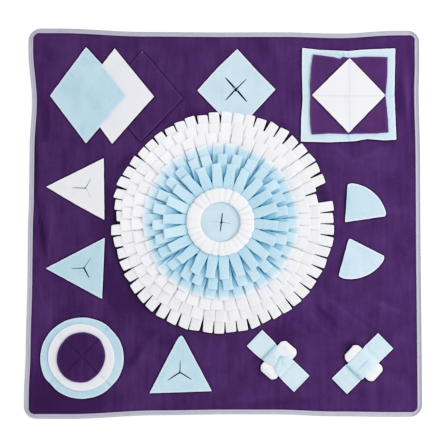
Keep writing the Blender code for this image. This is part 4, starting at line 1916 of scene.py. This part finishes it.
rosette = {
    "seed": 21,
    "looseSeed": 5,
    "stripWidth": 18.2,
    "stripLength": 33,
    "cloth": 2.0,
    "thin": {"fringeBlue": 1.9, "fringeWhite": 1.4},
    "band": 12,
    "bend": 10,
    "tone": 0.15,
    "toneSpread": 0.25,
    "facingTone": {"fringeBlue": 0.1, "fringeWhite": 0.4},
    "lightFacing": 140,  # the strips that lie towards this angle are painted lighter, a painted light, by the amounts above
    "across": (-1, -0.86, -0.5, 0, 0.5, 0.86, 1),
    "along": 15,
    "between": 0.35,  # the least gap between two tips
    "stray": 0.36,  # how much of the room between the strips a tip may wander
    "outOfLine": 1.5,  # how far a tip may be from its circle, how skew its end is, and how curled
    "skew": 1.2,
    "curl": 0.9,
    "loose": {
        # the ends of what chance gives each strip
        "cup": (0.2, 0.9),
        "lean": (-0.5, 0.5),
        "bow": (-1.0, 1.0),
        "wave": (0, math.tau),
        "rise": (0.6, 1.2),
        "waist": (0.3, 1.3),
        "narrow": (0.93, 1.0),
    },
    "bendRound": 0.05,
    "freeBy": 0.4,  # shares of a strip's length: where it is free to cup and wave
    "cupPower": 2.5,
    "waveHeight": 0.25,
    "waves": 6,
    "droopFrom": 0.9,
    "tipDroop": 0.25,
    "cornerFrom": 0.93,  # where its end starts to turn round
    "cornerPower": 8,
    "cornerBack": 0.018,
    "cornerIn": 0.035,
    "waistFrom": 0.2,
    "waist": 0.02,
    "overPatches": (72, 94),  # strips between these angles lie over a diamond's corner
    "heightsOverPatch": (5.6, 5.9),
    "rim": 0.55,
    # shares of the half width or the length: where the pale rim, partly painted highlight, and the painted shade along
    # a slit start, and how soon each is full
    "sideRim": (0.8, 0.2),
    "sideRimEase": 3,
    "tipRim": (0.94, 0.06),
    "slitSide": (0.84, 0.16),
    "slitEnd": (0.4, 0.3),
    "napSlope": 0.2,
    "under": 0.2,
    "underEase": 6,
    "shadeReach": 24,  # the shade below a fringe, out from its slits, and how soon it fades
    "shadeFade": 20,
    "rootReach": 9,
    "weld": 0.005,
    "fringes": {
        # tip, above: the radii of its own tips, and of those of the fringe above
        # first: the direction of the first strip; cuts: of the first and last cut, and how far those
        # between are drawn on; wide: a strip's width at its tip; short: which are shorter, by how much
        # heights: the undersides at the band, the slits, the bend and the tips
        # fade: the radii where its other colour starts and is full; under, slitLine: how shaded it is
        "fringe_1_upper": {
            "colour": "fringeWhite", "tip": 199, "count": 25, "cuts": (19.4, 180.5, 0), "wide": 18.3,
            "heights": (3.3, 3.6, 4.2, 4.5), "short": {23: 5.5, 24: 10.5}, "above": 176, "under": 0.3,
        },
        "fringe_1_lower": {
            "colour": "fringeWhite", "tip": 199, "count": 30, "cuts": (181.3, 370.9, 2.7), "wide": 18.3,
            "heights": (3.3, 3.6, 4.2, 4.5), "above": 176, "under": 0.3,
        },
        "fringe_2": {
            "colour": "fringeWhite", "tip": 176, "count": 49, "first": 5.8, "wide": 20.5,
            "heights": (3.3, 4.2, 5.6, 6.0), "above": 157, "under": 0.32,
        },
        "fringe_3": {
            "colour": "fringeWhite", "tip": 157, "count": 42, "first": 1.7, "wide": 21,
            "heights": (3.3, 4.6, 6.6, 7.6), "above": 138, "fade": (146, 124),
        },
        "fringe_4": {
            "colour": "fringeBlue", "tip": 138, "count": 34, "first": 8.0, "wide": 18.8, "waist": 0.10,
            "heights": (3.3, 5.0, 7.4, 9.4), "above": 120, "fade": (127, 142), "rise": 0.5,
            "under": 0.4,
        },
        "fringe_5": {
            "colour": "fringeBlue", "tip": 120, "count": 27, "first": 9.0, "wide": 18.2, "waist": 0.12,
            "heights": (3.3, 5.4, 8.2, 11.0), "above": 101, "rise": 1.2, "under": 0.42, "slitLine": 1.0,
        },
        "fringe_6": {
            "colour": "fringeBlue", "tip": 101, "count": 22, "first": 12.8, "wide": 17.8, "waist": 0.12,
            "heights": (3.5, 5.8, 9.0, 12.6), "above": 60, "rise": 2.0, "slitLine": 1.0,
        },
    },
}


def stripHeight(place, values):
    # the underside along a strip, with the bends between its runs made round
    bend = rosette["bend"] / rosette["stripLength"]
    stops = (-rosette["band"] / rosette["stripLength"], 0, bend, 1)
    places = [place + shift * rosette["bendRound"] for shift in (-2, -1, 0, 1, 2)]
    return sum(between(stops, values, near) for near in places) / len(places)


def stripCuts(look):
    # the directions of the cuts between the strips
    count = look["count"]
    if "cuts" not in look:
        return [look["first"] + (step - 0.5) * 360 / count for step in range(count + 1)]
    first, last, drawnOn = look["cuts"]
    turns = [step / count for step in range(count + 1)]
    return [first + (last - first) * turn + drawnOn * math.sin(math.pi * turn) for turn in turns]


def layTips(look, draw):
    # where each strip ends, and how it lies there
    middle = Vector(tips["middle"])
    cuts = stripCuts(look)
    pitch = (cuts[-1] - cuts[0]) / look["count"]
    wander = rosette["stray"] * (math.tau * look["tip"] * pitch / 360 - rosette["stripWidth"])
    laid = []
    for index, (before, after) in enumerate(zip(cuts, cuts[1:])):
        angle = (before + after) / 2
        way = polar((0, 0), 1, angle)
        side = sideways(way)
        reach = outerReach(angle) if "cuts" in look else look["tip"]
        reach -= look.get("short", {}).get(index, 0)
        reach += draw.uniform(-rosette["outOfLine"], rosette["outOfLine"])
        place = polar(middle, reach, angle) + side * draw.uniform(-wander, wander)
        skew = draw.uniform(-rosette["skew"], rosette["skew"])
        curl = draw.uniform(0, rosette["curl"])
        laid.append({
            "cuts": (before, after), "angle": angle, "way": way, "side": side,
            "place": place, "skew": skew, "curl": curl,
        })
    for index, tip in enumerate(laid):
        # half widths, kept clear of the strips on either side
        tip["half"] = []
        for other in (laid[index - 1], laid[(index + 1) % len(laid)]):
            room = ((other["place"] - tip["place"]).length - rosette["between"]) / 2
            tip["half"].append(min(look["wide"] / 2, room))
    return laid


def stripPlace(u, v, tip, look, loose):
    # where on the mat a strip is, from its slits to its tip as v grows to 1, and across as u does from -1
    middle = Vector(tips["middle"])
    slit = look["tip"] - rosette["stripLength"]
    before, after = tip["cuts"]
    turn = before + (after - before) * (u + 1) / 2
    if v <= 0:
        return polar(middle, slit + v * rosette["stripLength"], turn)
    corner = smooth((v - rosette["cornerFrom"]) / (1 - rosette["cornerFrom"]))
    corner *= abs(u) ** rosette["cornerPower"]
    reach = v - rosette["cornerBack"] * corner
    across = u * (1 - rosette["cornerIn"] * corner)
    half = tip["half"][0 if u < 0 else 1] * loose["narrow"]
    end = tip["place"] + tip["side"] * across * half + tip["way"] * across * tip["skew"]
    spine = polar(middle, slit, tip["angle"]).lerp(tip["place"], reach)
    flat = polar(middle, slit, turn).lerp(end, reach)
    narrowest = clamp((v - rosette["waistFrom"]) / (1 - rosette["waistFrom"]))
    waist = look.get("waist", rosette["waist"]) * loose["waist"] * math.sin(math.pi * narrowest) ** 2
    return spine + (flat - spine) * (1 - waist) + tip["side"] * loose["bow"] * (v * v - v)


def stripTop(u, v, tip, heights, look, loose):
    # the height of a strip's top at the same place
    out = max(0, v)
    free = smooth(v / rosette["freeBy"])
    height = stripHeight(v, heights) + rosette["cloth"]
    height -= loose["cup"] * free * abs(u) ** rosette["cupPower"]
    height += out * (tip["curl"] * (1 + u / 2) + loose["lean"] * u)
    height += look.get("rise", 0) * loose["rise"] * out**2
    height += rosette["waveHeight"] * free * math.sin(v * rosette["waves"] + loose["wave"])
    if v > rosette["droopFrom"]:
        height -= rosette["tipDroop"] * abs(u) ** 4
    return height


def stripDepth(u, v, radius, look):
    # how deep in the shade of the fringe above it a strip is there
    start = look["above"] - rosette["stripLength"] + rosette["shadeReach"]
    under = look.get("under", rosette["under"])
    under *= smooth((look["above"] + 1 - radius) / rosette["underEase"])
    side, sideWidth = rosette["slitSide"]
    end, endWidth = rosette["slitEnd"]
    slitLine = smooth((abs(u) - side) / sideWidth) * smooth((end - abs(v)) / endWidth)
    slitLine *= look.get("slitLine", 0)
    return max(slitLine, under + (1 - under) * smooth((start - radius) / rosette["shadeFade"]))


def makeFringe(name, look, draw, looseDraw):
    # one cloth: a sewn band, and the strips cut out from it
    middle = Vector(tips["middle"])
    bm = bmesh.new()
    edge, deep, fade, root, nap = marks(bm, "edge", "deep", "fade", "root", "nap")
    colour = look["colour"]
    columns = rosette["across"]
    tones = random.Random(look["tip"])
    low, high = rosette["overPatches"]
    start = -rosette["band"] / rosette["stripLength"]
    rootStart = look["above"] - rosette["stripLength"] + rosette["rootReach"]
    sideRim, sideWidth = rosette["sideRim"]
    tipRim, tipWidth = rosette["tipRim"]
    for tip in layTips(look, draw):
        heights = list(look["heights"])
        if "cuts" in look and low < tip["angle"] < high:
            heights[2:] = rosette["heightsOverPatch"]
        loose = {what: looseDraw.uniform(*ends) for what, ends in rosette["loose"].items()}
        # painted light: strips that face that angle are lighter, those facing away darker
        facing = math.cos(math.radians(tip["angle"] - rosette["lightFacing"]))
        tone = rosette["tone"] + rosette["toneSpread"] * tones.uniform(-1, 1)
        tone += rosette["facingTone"][colour] * facing
        grid = bmesh.ops.create_grid(bm, x_segments=len(columns) - 1, y_segments=rosette["along"], size=1)
        for vert in grid["verts"]:
            u = columns[round((vert.co.x + 1) / 2 * (len(columns) - 1))]
            v = start + (vert.co.y + 1) / 2 * (1 - start)
            flat = stripPlace(u, v, tip, look, loose)
            vert.co = (*flat, stripTop(u, v, tip, heights, look, loose))
            radius = (flat - middle).length
            sides = smooth((abs(u) - sideRim) / sideWidth) * smooth(v * rosette["sideRimEase"])
            vert[edge] = rosette["rim"] * max(sides, smooth((v - tipRim) / tipWidth))
            vert[nap] = tone + rosette["napSlope"] * (v - 0.5)
            vert[deep] = stripDepth(u, v, radius, look)
            # painted shade deep between the strips, near their roots
            vert[root] = smooth((rootStart - radius) / rosette["rootReach"])
            if "fade" in look:
                near, far = look["fade"]
                vert[fade] = smooth((radius - near) / (far - near))
    bmesh.ops.remove_doubles(bm, verts=bm.verts[:], dist=rosette["weld"])
    faceUp(bm)
    area = surface(bm)
    piece = finishCloth(name + "_cloth", bm, colour, [name], rosette["thin"][colour])
    across = rosette["band"] + rosette["stripLength"] + 1
    along = max(area / across, look["count"] * rosette["stripWidth"])
    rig.sheet(
        piece,
        flat=(across * mm, along * mm),
        held="laid",
        rests_on=["panel"],
        area=area * mm * mm,
    )


def makeRosette():
    draw = random.Random(rosette["seed"])
    looseDraw = random.Random(rosette["looseSeed"])
    for name, look in rosette["fringes"].items():
        makeFringe(name, look, draw, looseDraw)


makeRosette()
print("rosette is made")


# the gathered ring, and the patch inside it
ring = {
    "pleats": 29,
    "steps": 22,  # round each pleat
    "cloth": 1.6,
    "uneven": 0.7,
    "unevenSize": 0.12,
    "wander": 4.2,  # degrees that a pleat may be out of place
    "wanderSize": 0.24,
    "pleatDepth": 0.6,
    "pleatMore": 1.3,
    "pleatSize": 0.16,
    "pleatSharpness": 0.6,
    "creaseWidth": 0.9,
    "creaseShift": 0.2,
    "creaseShare": 1.15,  # how much of a pleat's depth shows as shade, and how shallow one shows none
    "creaseLeast": 0.1,
    "shade": 0.72,
    "rimShade": 0.55,
    "rim": (38, 56),  # inside the first radius and outside the second
    "rows": (
        # radius and height at a ridge, radius and height at a valley
        (35.5, 7.2, 36.2, 7.1),
        (35.0, 8.8, 35.6, 8.5),
        (35.6, 10.6, 36.2, 9.9),
        (37.5, 11.9, 37.8, 10.9),
        (41.0, 12.6, 41.0, 11.5),
        (46.0, 12.8, 46.0, 11.7),
        (51.0, 12.7, 51.0, 11.6),
        (55.0, 12.3, 54.6, 11.1),
        (58.0, 11.5, 56.4, 10.2),
        (59.7, 10.4, 57.4, 9.4),
        (60.1, 9.4, 57.6, 8.8),
        (59.8, 8.5, 57.3, 8.3),
    ),
}
centrePatch = {
    "colour": "paleBlue",
    "round": ((40, 40), 39.5),
    "seed": 61.0,
    "lift": 0.0,
    "slit": ((41.4, 40), (43.7, 21), (39.4, 59), (17.4, 38), (60.2, 43.2)),
    "gape": (2.6, 2.4, 0.3, 0.8),
}


def makeCentre():
    centrePatch["outline"] = roundOutline("centre_patch", *centrePatch["round"])
    makePatch("centre_patch", centrePatch)


def makeRing():
    # loops from under the ring's inner edge over its top to its outer edge, gathered in pleats
    middle = cadMiddle("centre_ruffle")
    count = ring["pleats"] * ring["steps"]
    bm = bmesh.new()
    [deep] = marks(bm, "deep")
    loop = None
    length = sum(math.dist(a[:2], b[:2]) for a, b in zip(ring["rows"], ring["rows"][1:]))
    innerRim, outerRim = ring["rim"]
    for ridgeRadius, ridge, valleyRadius, valley in ring["rows"]:
        loop = growLoop(bm, loop) if loop else startLoop(bm, count)
        for index, vert in enumerate(loop):
            turn = 360 * index / count
            spot = polar((0, 0), 1, turn)
            shift = ring["wander"] * ripple(*spot, ring["wanderSize"], 2.0)
            phase = ring["pleats"] * math.radians(turn + shift) / 2
            depth = ring["pleatDepth"] + ring["pleatMore"] * ripple(*spot, ring["pleatSize"], 5.0)
            full = 1 - (1 - abs(math.cos(phase)) ** ring["pleatSharpness"]) * clamp(depth)
            radius = valleyRadius + (ridgeRadius - valleyRadius) * full
            radius += ring["uneven"] * ripple(*spot, ring["unevenSize"], 9.0)
            vert.co = (*polar(middle, radius, turn), valley + (ridge - valley) * full)
            crease = smooth(1 - abs(math.cos(phase + ring["creaseShift"])) / ring["creaseWidth"])
            crease *= clamp(ring["creaseShare"] * depth - ring["creaseLeast"])
            rim = ring["rimShade"] if radius > outerRim or radius < innerRim else 1
            vert[deep] = ring["shade"] * crease * rim
    faceUp(bm)
    area = surface(bm)
    piece = finishCloth("ring_cloth", bm, "ruffle", ["centre_ruffle"], ring["cloth"])
    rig.sheet(
        piece,
        flat=(length * mm, area / length * mm),
        held="gathered",
        rests_on=["centre_patch_cloth", "fringe_6_cloth"],
    )


makeCentre()
makeRing()
print("ring and centre are made")

low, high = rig.bounds()
sizes = {"cad": [list(cadLow), list(cadHigh)], "visual": [list(low), list(high)]}
with open("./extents.json", "w") as file:
    json.dump(sizes, file)
